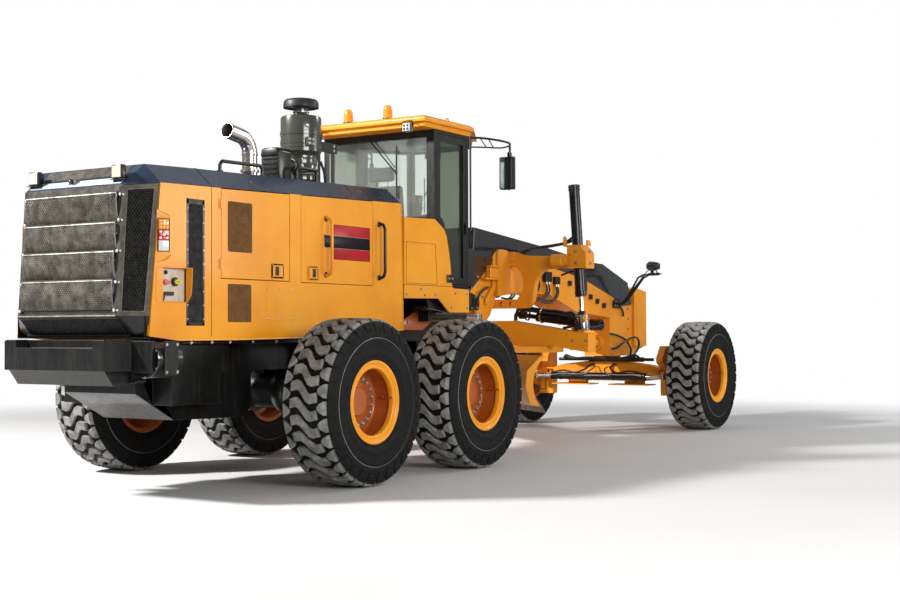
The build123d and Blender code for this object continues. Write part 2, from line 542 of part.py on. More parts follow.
cover_outline = COVER_LOW + COVER_TOP
cover = prism(cover_outline, "y", -FRAME_HALF - 12, FRAME_HALF + 12)
cover = cover - prism([(x + 12, z - 14) for x, z in COVER_LOW[:1]] + [(x, z - 14) for x, z in COVER_LOW[1:5]] + [(8486, 1700)] + [(x - 12, z - 14) for x, z in COVER_TOP[:1]] + [(x, z - 14) for x, z in COVER_TOP[1:5]] + [(4052, 2596)],
                      "y", -FRAME_HALF, FRAME_HALF)
cover = cover - front
write("frame_cover", cover)

# ---------------------------------------------------------------- saddle: collars, lift arms, yokes, link bar

saddle = None
ARM_OUTLINE = [(225, 2335), (290, 2352), (460, 2300), (905, 2275), (1110, 2275), (1110, 2140), (904, 2134), (757, 2122), (700, 2092), (655, 2043), (622, 1985), (606, 1925),
               (592, 1830), (575, 1740), (545, 1690), (500, 1655), (400, 1655), (360, 1690), (353, 1730), (374, 1775), (415, 1815), (440, 1862), (452, 1935), (446, 2015),
               (420, 2085), (384, 2130), (340, 2160), (225, 2178)]
for s in (1, -1):
    collar = box(4760, 4940, min(s * FRAME_HALF, s * 250), max(s * FRAME_HALF, s * 250), 1862, 2345)
    arm = prism([(s * y, z) for y, z in ARM_OUTLINE], "x", 4800, 4900)
    pivot = rod((4770, s * 290, 2290), (4930, s * 290, 2290), 60)
    tube = rod((SADDLE_X, s * 1000, 2208), (SADDLE_X, s * 1110, 2212), 85)
    yoke = box(4735, 4965, min(s * 1090, s * 1340), max(s * 1090, s * 1340), 2120, 2400)
    yoke = yoke - prism([(s * 1250, 2401), (s * 1345, 2401), (s * 1345, 2300)], "x", 4700, 5000)
    yoke = yoke - rod((SADDLE_X, s * LIFT_TOP[1], LIFT_TOP[2]), (SADDLE_X, s * LIFT_BOTTOM[1], LIFT_BOTTOM[2]), 72)
    half = collar + arm + pivot + tube + yoke
    saddle = half if saddle is None else saddle + half
link = box(4800, 4900, -480, 480, 1650, 1760)
for y in (-265, -130, 0, 130, 265):
    link = link - rod((4790, y, 1705), (4910, y, 1705), 30)
saddle = saddle + link
saddle = saddle - front - cover
write("saddle", saddle)

cylinders = []
for s in (1, -1):
    top, low = (SADDLE_X, s * LIFT_TOP[1], LIFT_TOP[2]), (SADDLE_X, s * LIFT_BOTTOM[1], LIFT_BOTTOM[2])
    end, mouth = along(top, low, 0.03), along(top, low, (3130 - 1780) / (3130 - 1560))
    cylinders.append(pipe(top, mouth, 65, 36) + rod(top, end, 65))
rack = pipe((7800, -740, 720), (7800, 740, 720), 52, 36)
for s in (1, -1):
    rack = rack + (box(7835, 8031, min(s * 300, s * 350), max(s * 300, s * 350), 690, 750) - rod((7800, -740, 720), (7800, 740, 720), 40))
cylinders.append(rack)
lean = bar((7935, -800, 960), (7935, -640, 960), 44, 44) + rod((7935, -650, 960), (7935, 200, 960), 34) + rod((7935, 200, 960), (7935, 690, 960), 22)
cylinders.append(lean)

# ---------------------------------------------------------------- front axle

AXLE_TOP = [(-960, 800), (-960, 700), (-700, 660), (-300, 650), (300, 650), (700, 660), (960, 700), (960, 800), (700, 880), (300, 930), (-300, 930), (-700, 880)]
axle = prism(AXLE_TOP, "x", 8032, 8200)
axle = axle + rod((8020, 0, 800), (8212, 0, 800), 80)
for s in (1, -1):
    lo, hi = min(s * 820, s * 960), max(s * 820, s * 960)
    yoke = prism([(7890, 985), (7890, 925), (8040, 830), (8040, 560), (8050, 450), (8182, 450), (8192, 560), (8192, 1150), (8020, 1150)], "y", min(s * 860, s * 960), max(s * 860, s * 960))
    for z0, z1 in ((1090, 1150), (450, 510)):
        yoke = yoke + box(8046, 8186, min(s * 940, s * KINGPIN_Y), max(s * 940, s * KINGPIN_Y), z0, z1) + rod((FRONT_AXLE_X, s * KINGPIN_Y, z0), (FRONT_AXLE_X, s * KINGPIN_Y, z1), 70)
    axle = axle + yoke
    axle = axle + box(7830, 8110, min(s * 140, s * 760), max(s * 140, s * 760), 596, 612) + box(8045, 8100, min(s * 300, s * 600), max(s * 300, s * 600), 608, 664)
# slots in the beam ends where the steering arms swing in
for s in (1, -1):
    axle = axle - box(8015, 8130, min(s * 840, s * 966), max(s * 840, s * 966), 754, 812)
write("front_axle", axle)
cylinders = [c - axle for c in cylinders]
write("front_cylinders", *cylinders)

ARM_X = 7800.0
for s, name in ((-1, "right"), (1, "left")):
    knuckle = rod((FRONT_AXLE_X, s * KINGPIN_Y, 516), (FRONT_AXLE_X, s * KINGPIN_Y, 1084), 62)
    knuckle = knuckle + rod((FRONT_AXLE_X, s * KINGPIN_Y, TYRE_RADIUS), (FRONT_AXLE_X, s * (TRACK_FRONT + STUB_END), TYRE_RADIUS), 88)
    knuckle = knuckle + rod((FRONT_AXLE_X, s * 1130, TYRE_RADIUS), (FRONT_AXLE_X, s * 1175, TYRE_RADIUS), 180)
    knuckle = knuckle + prism([(FRONT_AXLE_X, s * 1110), (ARM_X - 35, s * 1030), (ARM_X - 35, s * 970), (ARM_X + 35, s * 970), (FRONT_AXLE_X, s * 1010)], "z", 768, 798)
    write(f"knuckle_{name}", knuckle)

rack_rod = rod((ARM_X, -960, 720), (ARM_X, 960, 720), 30)
for s in (1, -1):
    rack_rod = rack_rod + rod((ARM_X, s * 1000, 685), (ARM_X, s * 1000, 757), 42)
write("steering_rods", rack_rod)

front_lamps = []
for s in (1, -1):
    lamp = bent([(8050, s * 212, 1750), (8050, s * 300, 1760), (8100, s * 500, 2130), (8150, s * 560, 2170), (8165, s * 760, 2170)], 14)
    lamp = lamp + rod((8160, s * 700, 2165), (8160, s * 700, 2240), 16)
    lamp = lamp + rod((8080, s * 700, 2290), (8200, s * 700, 2290), 66)
    front_lamps.append(lamp - cover - front)
write("front_lamps", *front_lamps)

# ---------------------------------------------------------------- drawbar with its cross-beam

tongue = prism([(7640, 48), (7400, 90), (6300, 170), (5250, 640), (4950, 720), (4950, -720), (5250, -640), (6300, -170), (7400, -90), (7640, -48)], "z", 1200, 1335)
tongue = tongue - prism([(6050, 0), (5250, 470), (5150, 480), (5150, -480), (5250, -470)], "z", 1190, 1345)
ball = Pos(*DRAW_BALL) * Sphere(70) + rod((7600, 0, 1255), (7700, 0, 1200), 44) + prism([(7420, 1210), (7640, 1210), (7640, 1300), (7420, 1330)], "y", -48, 48)
cross = prism([(-1360, 1332), (-1360, 1112), (-850, 1192), (850, 1192), (1360, 1112), (1360, 1332), (300, 1495), (-300, 1495)], "x", 4750, 4952)
drawbar = tongue + ball + cross
drawbar = drawbar + box(4952, 5260, -240, 240, 1335, 1480)
for s in (1, -1):
    drawbar = drawbar + rod((SADDLE_X, s * 1243, 1330), (SADDLE_X, s * 1243, 1440), 22) + Pos(SADDLE_X, s * 1243, 1440) * Sphere(28)
drawbar = drawbar + box(4952, 5040, -1120, -1040, 1330, 1440)
write("drawbar", drawbar)
SHIFT_A, SHIFT_B = (5000, -1080, 1475), (5000, -330, 1568)
shift_body = rod(along(SHIFT_A, SHIFT_B, 0.0), along(SHIFT_A, SHIFT_B, 0.72), 55) + rod(along(SHIFT_A, SHIFT_B, 0.7), along(SHIFT_A, SHIFT_B, 0.97), 28)
shift_body = shift_body + rod((4960, SHIFT_B[1], SHIFT_B[2]), (5040, SHIFT_B[1], SHIFT_B[2]), 48) - drawbar
write("shift_cylinder", shift_body)

for s, name in ((-1, "right"), (1, "left")):
    top, low = (SADDLE_X, s * LIFT_TOP[1], LIFT_TOP[2]), (SADDLE_X, s * LIFT_BOTTOM[1], LIFT_BOTTOM[2])
    chrome = rod(along(top, low, 0.42), along(top, low, 1.01), 29)
    socket = rod((SADDLE_X, s * 1243, 1376), (SADDLE_X, s * 1235, 1560), 78) - rod((SADDLE_X, s * 1243, 1370), (SADDLE_X, s * 1240, 1500), 64)
    write(f"lift_rod_{name}", chrome + socket)

# ---------------------------------------------------------------- circle, blade bracket, blade (drawn square, then turned by BLADE_ANGLE)

TURN = Pos(CIRCLE_X, 0, 0) * Rot(0, 0, BLADE_ANGLE)
ring = pipe((0, 0, 1108), (0, 0, 1184), CIRCLE_OUTER, CIRCLE_INNER)
for s in (1, -1):
    leg = prism([(-330, 1112), (-455, 1000), (-480, 940), (-480, 660), (-520, 545), (-580, 545), (-660, 700), (-660, 1000), (-560, 1112)], "y", min(s * 590, s * 650), max(s * 590, s * 650))
    ring = ring + leg
lug = prism([(-840, 1112), (-700, 1112), (-700, 1060), (-790, 960), (-840, 960)], "y", -70, 70)
ring = ring + lug
TIP_A, TIP_B = (-800, 0, 1010), (-500, 0, 960)
tip_barrel = pipe(along(TIP_A, TIP_B, 0.0), along(TIP_A, TIP_B, 0.55), 46, 30)
ring = ring - rod(TIP_A, TIP_B, 47) + tip_barrel
pin_line = rod((-545, -660, 600), (-545, 660, 600), 24)
ring = ring - rod((-545, -700, 600), (-545, 700, 600), 30)
write("circle", TURN * ring)
tip_rod = rod(along(TIP_A, TIP_B, 0.02), along(TIP_A, TIP_B, 0.93), 24) + rod((-500, -30, 960), (-500, 30, 960), 34)
write("tip_rod", TURN * tip_rod)

bracket = pin_line
for s in (1, -1):
    beam_v = prism([(-490, 1000), (-448, 1000), (-448, 530), (-490, 530), (-580, 570), (-580, 630), (-500, 680)], "y", min(s * 510, s * 578), max(s * 510, s * 578))
    bracket = bracket + beam_v
bracket = bracket + box(-492, -448, -578, 578, 700, 760)
for s in (1, -1):
    bracket = bracket + box(-534, -476, min(s * 45, s * 75), max(s * 45, s * 75), 704, 995)
bracket = bracket + rod((-506, -90, 960), (-506, -44, 960), 22) + rod((-506, 44, 960), (-506, 90, 960), 22)
barrel = rod((-440, -485, 850), (-440, 300, 850), 29) + box(-488, -440, -470, -430, 745, 840)
bracket = bracket + barrel - rod((-440, -470, 850), (-440, 700, 850), 23)
write("blade_bracket", TURN * bracket)

ARC_U = BLADE_BACK - (BLADE_ARC - math.sqrt(BLADE_ARC ** 2 - ((BLADE_TOP - BLADE_BOTTOM) / 2) ** 2)) + BLADE_ARC
ARC_Z = (BLADE_TOP + BLADE_BOTTOM) / 2
shell = rod((ARC_U, -BLADE_LENGTH / 2, ARC_Z), (ARC_U, BLADE_LENGTH / 2, ARC_Z), BLADE_ARC + BLADE_THICK) - rod((ARC_U, -BLADE_LENGTH, ARC_Z), (ARC_U, BLADE_LENGTH, ARC_Z), BLADE_ARC)
EDGE_Z = 600.0
shell = shell & box(-600, BLADE_BACK, -BLADE_LENGTH, BLADE_LENGTH, EDGE_Z - 60, BLADE_TOP)
mold = shell
# end stiffeners and the two slide rails behind the blade
for s in (1, -1):
    end = prism([(-236, 1090), (-300, 1090), (-455, 930), (-470, 760), (-420, 560), (-330, 545), (-330, 600), (-395, 700), (-405, 800), (-385, 930), (-330, 1020)], "y",
                min(s * (BLADE_LENGTH / 2 - 30), s * BLADE_LENGTH / 2), max(s * (BLADE_LENGTH / 2 - 30), s * BLADE_LENGTH / 2))
    mold = mold + (end - rod((ARC_U, -BLADE_LENGTH, ARC_Z), (ARC_U, BLADE_LENGTH, ARC_Z), BLADE_ARC))
slides = box(-442, -350, -1500, 1500, 940, 985) + box(-442, -345, -1500, 1500, 560, 610)
slides = slides - rod((ARC_U, -BLADE_LENGTH, ARC_Z), (ARC_U, BLADE_LENGTH, ARC_Z), BLADE_ARC)
mold = mold + slides + box(-470, -395, 1440, 1500, 810, 890)
mold = mold + rod((-440, -100, 850), (-440, 1445, 850), 18)
edge = prism([(-245, BLADE_BOTTOM), (-230, BLADE_BOTTOM), (-345, 640), (-362, 632)], "y", -BLADE_LENGTH / 2, BLADE_LENGTH / 2)
mold = mold - edge
write("moldboard", TURN * mold)
write("cutting_edge", TURN * edge)
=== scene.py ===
import math
import random

import bmesh
import bpy
from mathutils import Matrix, Vector


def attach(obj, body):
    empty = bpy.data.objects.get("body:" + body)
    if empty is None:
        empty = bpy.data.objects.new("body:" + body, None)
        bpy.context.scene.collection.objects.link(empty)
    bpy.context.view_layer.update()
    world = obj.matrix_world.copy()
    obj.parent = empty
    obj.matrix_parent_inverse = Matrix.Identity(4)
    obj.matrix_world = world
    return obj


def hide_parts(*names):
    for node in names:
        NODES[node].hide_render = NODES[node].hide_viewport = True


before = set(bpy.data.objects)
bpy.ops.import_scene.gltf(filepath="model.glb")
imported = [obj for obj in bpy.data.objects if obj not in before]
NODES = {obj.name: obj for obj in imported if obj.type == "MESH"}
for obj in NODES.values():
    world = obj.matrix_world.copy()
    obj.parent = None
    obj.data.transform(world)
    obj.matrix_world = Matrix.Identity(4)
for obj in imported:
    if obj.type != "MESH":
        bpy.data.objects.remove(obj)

# Layout: metres from the rear tandem wheel's centre, x forward, y left, z up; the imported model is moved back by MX, MY.
MX, MY = 3.387, 0.1153075
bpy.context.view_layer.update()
random.seed(7)


def V(*p):
    return Vector(p if len(p) == 3 else p[0])


# ------------------------------------------------------------------ materials

def socket(node, *names):
    for n in names:
        if n in node.inputs:
            return node.inputs[n]
    raise KeyError(names)


class Mat:
    """Small builder for a node material whose pattern follows the object's own coordinates."""

    def __init__(self, name):
        self.m = bpy.data.materials.new(name)
        self.m.use_nodes = True
        self.t = self.m.node_tree
        self.t.nodes.clear()
        self.out = self.t.nodes.new("ShaderNodeOutputMaterial")
        self.b = self.t.nodes.new("ShaderNodeBsdfPrincipled")
        self.t.links.new(self.b.outputs[0], self.out.inputs[0])
        self.co = self.t.nodes.new("ShaderNodeTexCoord").outputs["Object"]

    def set(self, **values):
        names = {"metal": "Metallic", "rough": "Roughness", "coat": "Coat Weight", "coat_rough": "Coat Roughness", "spec": "Specular IOR Level",
                 "trans": "Transmission Weight", "ior": "IOR", "sheen": "Sheen Weight", "sheen_rough": "Sheen Roughness", "alpha": "Alpha",
                 "emit": "Emission Strength", "sub": "Subsurface Weight"}
        for k, v in values.items():
            self.b.inputs[names[k]].default_value = v
        return self

    def noise(self, scale, detail=3.0, rough=0.55, stretch=None):
        n = self.t.nodes.new("ShaderNodeTexNoise")
        n.inputs["Scale"].default_value = scale
        n.inputs["Detail"].default_value = detail
        n.inputs["Roughness"].default_value = rough
        if stretch:
            mp = self.t.nodes.new("ShaderNodeMapping")
            mp.inputs["Scale"].default_value = stretch
            self.t.links.new(self.co, mp.inputs["Vector"])
            self.t.links.new(mp.outputs[0], n.inputs["Vector"])
        else:
            self.t.links.new(self.co, n.inputs["Vector"])
        return n.outputs["Fac"]

    def voronoi(self, scale, feature="F1"):
        n = self.t.nodes.new("ShaderNodeTexVoronoi")
        n.feature = feature
        n.inputs["Scale"].default_value = scale
        self.t.links.new(self.co, n.inputs["Vector"])
        return n.outputs["Distance"]

    def wave(self, scale, direction="X", distort=0.0):
        n = self.t.nodes.new("ShaderNodeTexWave")
        n.wave_type = "BANDS"
        n.bands_direction = direction
        n.inputs["Scale"].default_value = scale
        n.inputs["Distortion"].default_value = distort
        self.t.links.new(self.co, n.inputs["Vector"])
        return n.outputs["Fac"]

    def axis(self, which):
        s = self.t.nodes.new("ShaderNodeSeparateXYZ")
        self.t.links.new(self.co, s.inputs[0])
        return s.outputs["XYZ".index(which)]

    def normal_z(self):
        g = self.t.nodes.new("ShaderNodeNewGeometry")
        s = self.t.nodes.new("ShaderNodeSeparateXYZ")
        self.t.links.new(g.outputs["Normal"], s.inputs[0])
        return s.outputs["Z"]

    def ramp(self, fac, *stops, mode="LINEAR"):
        r = self.t.nodes.new("ShaderNodeValToRGB")
        r.color_ramp.interpolation = mode
        e = r.color_ramp.elements
        while len(e) < len(stops):
            e.new(0.5)
        for el, (pos, col) in zip(e, stops):
            el.position = pos
            el.color = (*col, 1) if len(col) == 3 else (col[0],) * 3 + (1,)
        self.t.links.new(fac, r.inputs[0])
        return r.outputs[0]

    def grey(self, fac, *stops, mode="LINEAR"):
        return self.ramp(fac, *[(p, (v, v, v)) for p, v in stops], mode=mode)

    def math(self, op, a, b):
        n = self.t.nodes.new("ShaderNodeMath")
        n.operation = op
        for i, v in enumerate((a, b)):
            if isinstance(v, (int, float)):
                n.inputs[i].default_value = v
            else:
                self.t.links.new(v, n.inputs[i])
        n.use_clamp = True
        return n.outputs[0]

    def mix(self, fac, a, b, mode="MIX"):
        n = self.t.nodes.new("ShaderNodeMix")
        n.data_type = "RGBA"
        n.blend_type = mode
        for s, v in ((n.inputs[0], fac), (n.inputs[6], a), (n.inputs[7], b)):
            if isinstance(v, (int, float)):
                s.default_value = v
            elif isinstance(v, tuple):
                s.default_value = (*v, 1)
            else:
                self.t.links.new(v, s)
        return n.outputs[2]

    def color(self, v):
        s = self.b.inputs["Base Color"]
        if isinstance(v, tuple):
            s.default_value = (*v, 1)
        else:
            self.t.links.new(v, s)
        return self

    def rough(self, v):
        self.t.links.new(v, self.b.inputs["Roughness"])
        return self

    def bump(self, height, strength=0.1, distance=0.002):
        n = self.t.nodes.new("ShaderNodeBump")
        n.inputs["Strength"].default_value = strength
        n.inputs["Distance"].default_value = distance
        self.t.links.new(height, n.inputs["Height"])
        self.t.links.new(n.outputs[0], self.b.inputs["Normal"])
        return self

    def glow(self, col, strength):
        self.b.inputs["Emission Color"].default_value = (*col, 1)
        self.b.inputs["Emission Strength"].default_value = strength
        return self


def paint(name, deep, base, light, dust=(0.45, 0.36, 0.25), dusty=0.25, rough=(0.28, 0.42), coat=0.5, peel=0.05, spec=0.5):
    """Machine enamel: uneven colour, a breath of dust in noise specks and streaks, orange peel."""
    m = Mat(name).set(coat=coat, coat_rough=0.12, spec=spec)
    tone = m.ramp(m.noise(1.3, 4.0, 0.6), (0.30, deep), (0.52, base), (0.75, light))
    speck = m.grey(m.noise(38.0, 4.0, 0.7), (0.56, 0.0), (0.74, 1.0))
    streak = m.grey(m.noise(3.0, 5.0, 0.65, (6.0, 6.0, 0.8)), (0.48, 0.0), (0.78, 1.0))
    dirt = m.math("MULTIPLY", m.math("ADD", m.math("MULTIPLY", speck, 0.35), streak), dusty)
    m.color(m.mix(dirt, tone, dust))
    m.rough(m.grey(m.noise(9.0, 5.0, 0.7), (0.3, rough[0]), (0.75, rough[1])))
    m.bump(m.noise(420.0, 2.0, 0.5), peel, 0.001)
    return m.m


def make_materials():
    M = {}
    M["orange"] = paint("orange_enamel", (0.76, 0.270, 0.008), (0.84, 0.330, 0.012), (0.88, 0.370, 0.018), dusty=0.05, coat=0.16, spec=0.22, rough=(0.30, 0.42))
    M["orange_low"] = paint("orange_enamel_worked", (0.74, 0.245, 0.008), (0.84, 0.310, 0.010), (0.88, 0.365, 0.016), dusty=0.12, rough=(0.34, 0.50), coat=0.18, spec=0.28)
    # painted shade: a darker, redder copy of the orange enamel for the dished rims
    M["orange_rim"] = paint("orange_rim_painted_shade", (0.50, 0.115, 0.004), (0.66, 0.170, 0.005), (0.76, 0.225, 0.008), dusty=0.14, rough=(0.30, 0.46), coat=0.22, spec=0.3)
    M["navy"] = paint("dark_blue_grey_enamel", (0.014, 0.024, 0.045), (0.021, 0.036, 0.066), (0.030, 0.050, 0.086), dust=(0.22, 0.24, 0.28), dusty=0.04, rough=(0.22, 0.34), coat=0.20, spec=0.28)
    M["black"] = paint("black_chassis_enamel", (0.003, 0.003, 0.003), (0.006, 0.006, 0.006), (0.012, 0.012, 0.012), dust=(0.16, 0.14, 0.11), dusty=0.10, rough=(0.26, 0.46), coat=0.25, spec=0.3)
    M["black_gloss"] = paint("black_gloss_panel", (0.006, 0.007, 0.008), (0.011, 0.013, 0.016), (0.020, 0.024, 0.030), dust=(0.2, 0.2, 0.2), dusty=0.05, rough=(0.10, 0.2), coat=0.9)
    M["olive"] = paint("dark_olive_enamel", (0.030, 0.033, 0.026), (0.048, 0.052, 0.040), (0.072, 0.077, 0.060), dust=(0.25, 0.24, 0.2), dusty=0.12, rough=(0.16, 0.3), coat=0.7)

    m = Mat("weathered_dark_frame").set(metal=0.35, spec=0.5)
    m.color(m.mix(m.grey(m.noise(14.0, 6.0, 0.75), (0.42, 0.0), (0.70, 1.0)), (0.030, 0.029, 0.027), (0.115, 0.100, 0.078)))
    m.rough(m.grey(m.noise(22.0, 4.0, 0.6), (0.3, 0.35), (0.7, 0.62))).bump(m.noise(160.0, 3.0, 0.6), 0.12, 0.001)
    M["frame_dark"] = m.m

    m = Mat("olive_grey_frame").set(metal=0.15, spec=0.35)
    m.color(m.ramp(m.noise(10.0, 6.0, 0.75), (0.32, (0.060, 0.057, 0.042)), (0.52, (0.118, 0.110, 0.084)), (0.74, (0.200, 0.188, 0.150))))
    m.rough(m.grey(m.noise(22.0, 4.0, 0.6), (0.3, 0.40), (0.7, 0.62))).bump(m.noise(160.0, 3.0, 0.6), 0.12, 0.001)
    M["frame_olive"] = m.m

    m = Mat("wire_screen_metal").set(metal=0.75)
    m.color(m.ramp(m.noise(11.0, 5.0, 0.7), (0.35, (0.13, 0.12, 0.105)), (0.55, (0.27, 0.25, 0.22)), (0.75, (0.42, 0.39, 0.34))))
    m.rough(m.grey(m.noise(40.0, 2.0, 0.5), (0.3, 0.36), (0.7, 0.55)))
    M["wire"] = m.m

    m = Mat("wire_screen_bright").set(metal=0.6)
    m.color(m.ramp(m.noise(9.0, 6.0, 0.75), (0.32, (0.05, 0.046, 0.040)), (0.48, (0.16, 0.146, 0.124)), (0.70, (0.38, 0.350, 0.300))))
    m.rough(m.grey(m.noise(40.0, 2.0, 0.5), (0.3, 0.40), (0.7, 0.6)))
    M["wire_light"] = m.m

    m = Mat("brown_screen_metal").set(metal=0.4)
    m.color(m.ramp(m.noise(16.0, 4.0, 0.7), (0.35, (0.10, 0.045, 0.012)), (0.7, (0.22, 0.105, 0.030))))
    m.rough(m.grey(m.noise(40.0, 2.0, 0.5), (0.3, 0.4), (0.7, 0.6)))
    M["wire_brown"] = m.m

    # near-black for seams, the fan shroud and other dark parts; also painted shade in the backing sheets behind the
    # grille's corner and apron screens and the hood-slope screen, and under the louvre rows
    m = Mat("near_black_parts_and_painted_shade").set(spec=0.2)
    m.color(m.ramp(m.noise(20.0, 3.0, 0.6), (0.3, (0.010, 0.010, 0.010)), (0.7, (0.030, 0.028, 0.026))))
    m.rough(m.grey(m.noise(12.0, 3.0, 0.6), (0.3, 0.7), (0.7, 0.9)))
    M["dark"] = m.m

    m = Mat("tyre_rubber").set(spec=0.18)
    m.color(m.ramp(m.noise(7.0, 6.0, 0.7), (0.35, (0.003, 0.003, 0.003)), (0.6, (0.006, 0.006, 0.006)), (0.88, (0.020, 0.019, 0.017))))
    m.rough(m.grey(m.noise(30.0, 4.0, 0.6), (0.3, 0.55), (0.7, 0.78))).bump(m.noise(260.0, 3.0, 0.6), 0.25, 0.001)
    M["rubber"] = m.m

    m = Mat("tread_rubber_dusty").set(spec=0.3)
    m.color(m.ramp(m.noise(9.0, 7.0, 0.75), (0.30, (0.080, 0.079, 0.074)), (0.50, (0.215, 0.212, 0.202)), (0.72, (0.400, 0.394, 0.375))))
    m.rough(m.grey(m.noise(50.0, 4.0, 0.6), (0.3, 0.62), (0.7, 0.85))).bump(m.noise(190.0, 4.0, 0.65), 0.3, 0.0015)
    M["tread"] = m.m

    m = Mat("hose_rubber").set(spec=0.45)
    m.color(m.ramp(m.noise(60.0, 3.0, 0.6), (0.3, (0.008, 0.008, 0.008)), (0.7, (0.020, 0.020, 0.021))))
    m.rough(m.grey(m.noise(90.0, 2.0, 0.5), (0.3, 0.34), (0.7, 0.5))).bump(m.noise(500.0, 2.0, 0.5), 0.1, 0.0005)
    M["hose"] = m.m

    m = Mat("hard_chrome").set(metal=1.0)
    m.color(m.ramp(m.noise(5.0, 2.0, 0.5), (0.3, (0.60, 0.60, 0.61)), (0.7, (0.74, 0.74, 0.75))))
    m.rough(m.grey(m.noise(60.0, 3.0, 0.6), (0.3, 0.07), (0.7, 0.16)))
    M["chrome"] = m.m

    m = Mat("zinc_bolt").set(metal=0.9)
    m.color(m.ramp(m.noise(45.0, 3.0, 0.6), (0.3, (0.38, 0.37, 0.35)), (0.7, (0.60, 0.58, 0.55))))
    m.rough(m.grey(m.noise(80.0, 3.0, 0.6), (0.3, 0.3), (0.7, 0.5)))
    M["zinc"] = m.m

    m = Mat("polished_exhaust_steel").set(metal=1.0)
    m.color(m.ramp(m.noise(3.5, 4.0, 0.6), (0.30, (0.42, 0.38, 0.33)), (0.50, (0.60, 0.57, 0.53)), (0.72, (0.55, 0.47, 0.38))))
    m.rough(m.grey(m.noise(14.0, 4.0, 0.6, (1.0, 1.0, 7.0)), (0.3, 0.16), (0.7, 0.32)))
    M["steel"] = m.m

    m = Mat("brown_worn_steel").set(metal=0.55)
    m.color(m.ramp(m.noise(12.0, 6.0, 0.7, (1.0, 1.0, 3.0)), (0.30, (0.070, 0.035, 0.018)), (0.50, (0.16, 0.085, 0.045)), (0.75, (0.30, 0.21, 0.15))))
    m.rough(m.grey(m.noise(30.0, 4.0, 0.6), (0.3, 0.38), (0.7, 0.62))).bump(m.noise(90.0, 4.0, 0.7), 0.2, 0.001)
    M["worn"] = m.m

    m = Mat("window_glass_grey_green").set(trans=0.92, ior=1.45, spec=0.5)
    m.color(m.ramp(m.noise(0.8, 2.0, 0.5), (0.3, (0.82, 0.88, 0.84)), (0.7, (0.86, 0.92, 0.88))))
    m.rough(m.grey(m.noise(6.0, 4.0, 0.6), (0.4, 0.0), (0.8, 0.05)))
    M["glass"] = m.m

    m = Mat("door_glass_dark_green").set(trans=0.92, ior=1.45, spec=0.5)
    m.color(m.ramp(m.noise(0.8, 2.0, 0.5), (0.3, (0.20, 0.235, 0.18)), (0.7, (0.24, 0.275, 0.21))))
    m.rough(m.grey(m.noise(6.0, 4.0, 0.6), (0.4, 0.0), (0.8, 0.04)))
    M["glass_door"] = m.m

    m = Mat("mirror_silver").set(metal=1.0)
    m.color(m.ramp(m.noise(2.0, 2.0, 0.5), (0.3, (0.70, 0.72, 0.74)), (0.7, (0.78, 0.80, 0.82))))
    m.rough(m.grey(m.noise(30.0, 2.0, 0.5), (0.3, 0.02), (0.7, 0.06)))
    M["mirror"] = m.m

    m = Mat("black_plastic").set(spec=0.4)
    m.color(m.ramp(m.noise(25.0, 3.0, 0.6), (0.3, (0.010, 0.010, 0.011)), (0.7, (0.022, 0.022, 0.023))))
    m.rough(m.grey(m.noise(60.0, 3.0, 0.6), (0.3, 0.38), (0.7, 0.55))).bump(m.noise(700.0, 2.0, 0.5), 0.12, 0.0004)
    M["plastic"] = m.m

    m = Mat("grey_plastic").set(spec=0.4)
    m.color(m.ramp(m.noise(20.0, 3.0, 0.6), (0.3, (0.10, 0.10, 0.105)), (0.7, (0.16, 0.16, 0.165))))
    m.rough(m.grey(m.noise(60.0, 3.0, 0.6), (0.3, 0.42), (0.7, 0.6)))
    M["grey"] = m.m

    m = Mat("white_plastic").set(spec=0.5, coat=0.3)
    m.color(m.ramp(m.noise(18.0, 4.0, 0.6), (0.3, (0.62, 0.61, 0.58)), (0.7, (0.80, 0.79, 0.77))))
    m.rough(m.grey(m.noise(50.0, 3.0, 0.6), (0.3, 0.25), (0.7, 0.45)))
    M["white"] = m.m

    m = Mat("lamp_lens_clear").set(coat=1.0, coat_rough=0.03, spec=0.6)
    m.color(m.ramp(m.wave(60.0, "Z"), (0.3, (0.62, 0.64, 0.66)), (0.7, (0.86, 0.88, 0.90))))
    m.rough(m.grey(m.noise(40.0, 2.0, 0.5), (0.3, 0.05), (0.7, 0.15)))
    M["lens"] = m.m

    m = Mat("amber_lens").set(coat=1.0, coat_rough=0.04, trans=0.25, ior=1.45)
    m.color(m.ramp(m.wave(120.0, "Z"), (0.3, (0.80, 0.24, 0.01)), (0.7, (1.0, 0.42, 0.03))))
    m.rough(m.grey(m.noise(40.0, 2.0, 0.5), (0.3, 0.08), (0.7, 0.2))).glow((1.0, 0.33, 0.02), 0.18)
    M["amber"] = m.m

    m = Mat("red_lens").set(coat=1.0, coat_rough=0.04)
    m.color(m.ramp(m.wave(90.0, "Z"), (0.3, (0.50, 0.012, 0.010)), (0.7, (0.78, 0.035, 0.025))))
    m.rough(m.grey(m.noise(40.0, 2.0, 0.5), (0.3, 0.1), (0.7, 0.2)))
    M["red"] = m.m

    m = Mat("badge_red_satin").set(coat=0.15, coat_rough=0.2, spec=0.25)
    m.color(m.ramp(m.noise(4.0, 4.0, 0.6, (1.0, 1.0, 2.0)), (0.3, (0.34, 0.004, 0.008)), (0.7, (0.52, 0.010, 0.016))))
    m.rough(m.grey(m.noise(60.0, 3.0, 0.6), (0.3, 0.25), (0.7, 0.4)))
    M["badge_red"] = m.m

    m = Mat("badge_dark_satin").set(coat=0.05, coat_rough=0.3, spec=0.12)
    m.color(m.ramp(m.noise(5.0, 4.0, 0.6), (0.3, (0.006, 0.004, 0.005)), (0.7, (0.014, 0.008, 0.009))))
    m.rough(m.grey(m.noise(60.0, 3.0, 0.6), (0.3, 0.25), (0.7, 0.4)))
    M["badge_dark"] = m.m

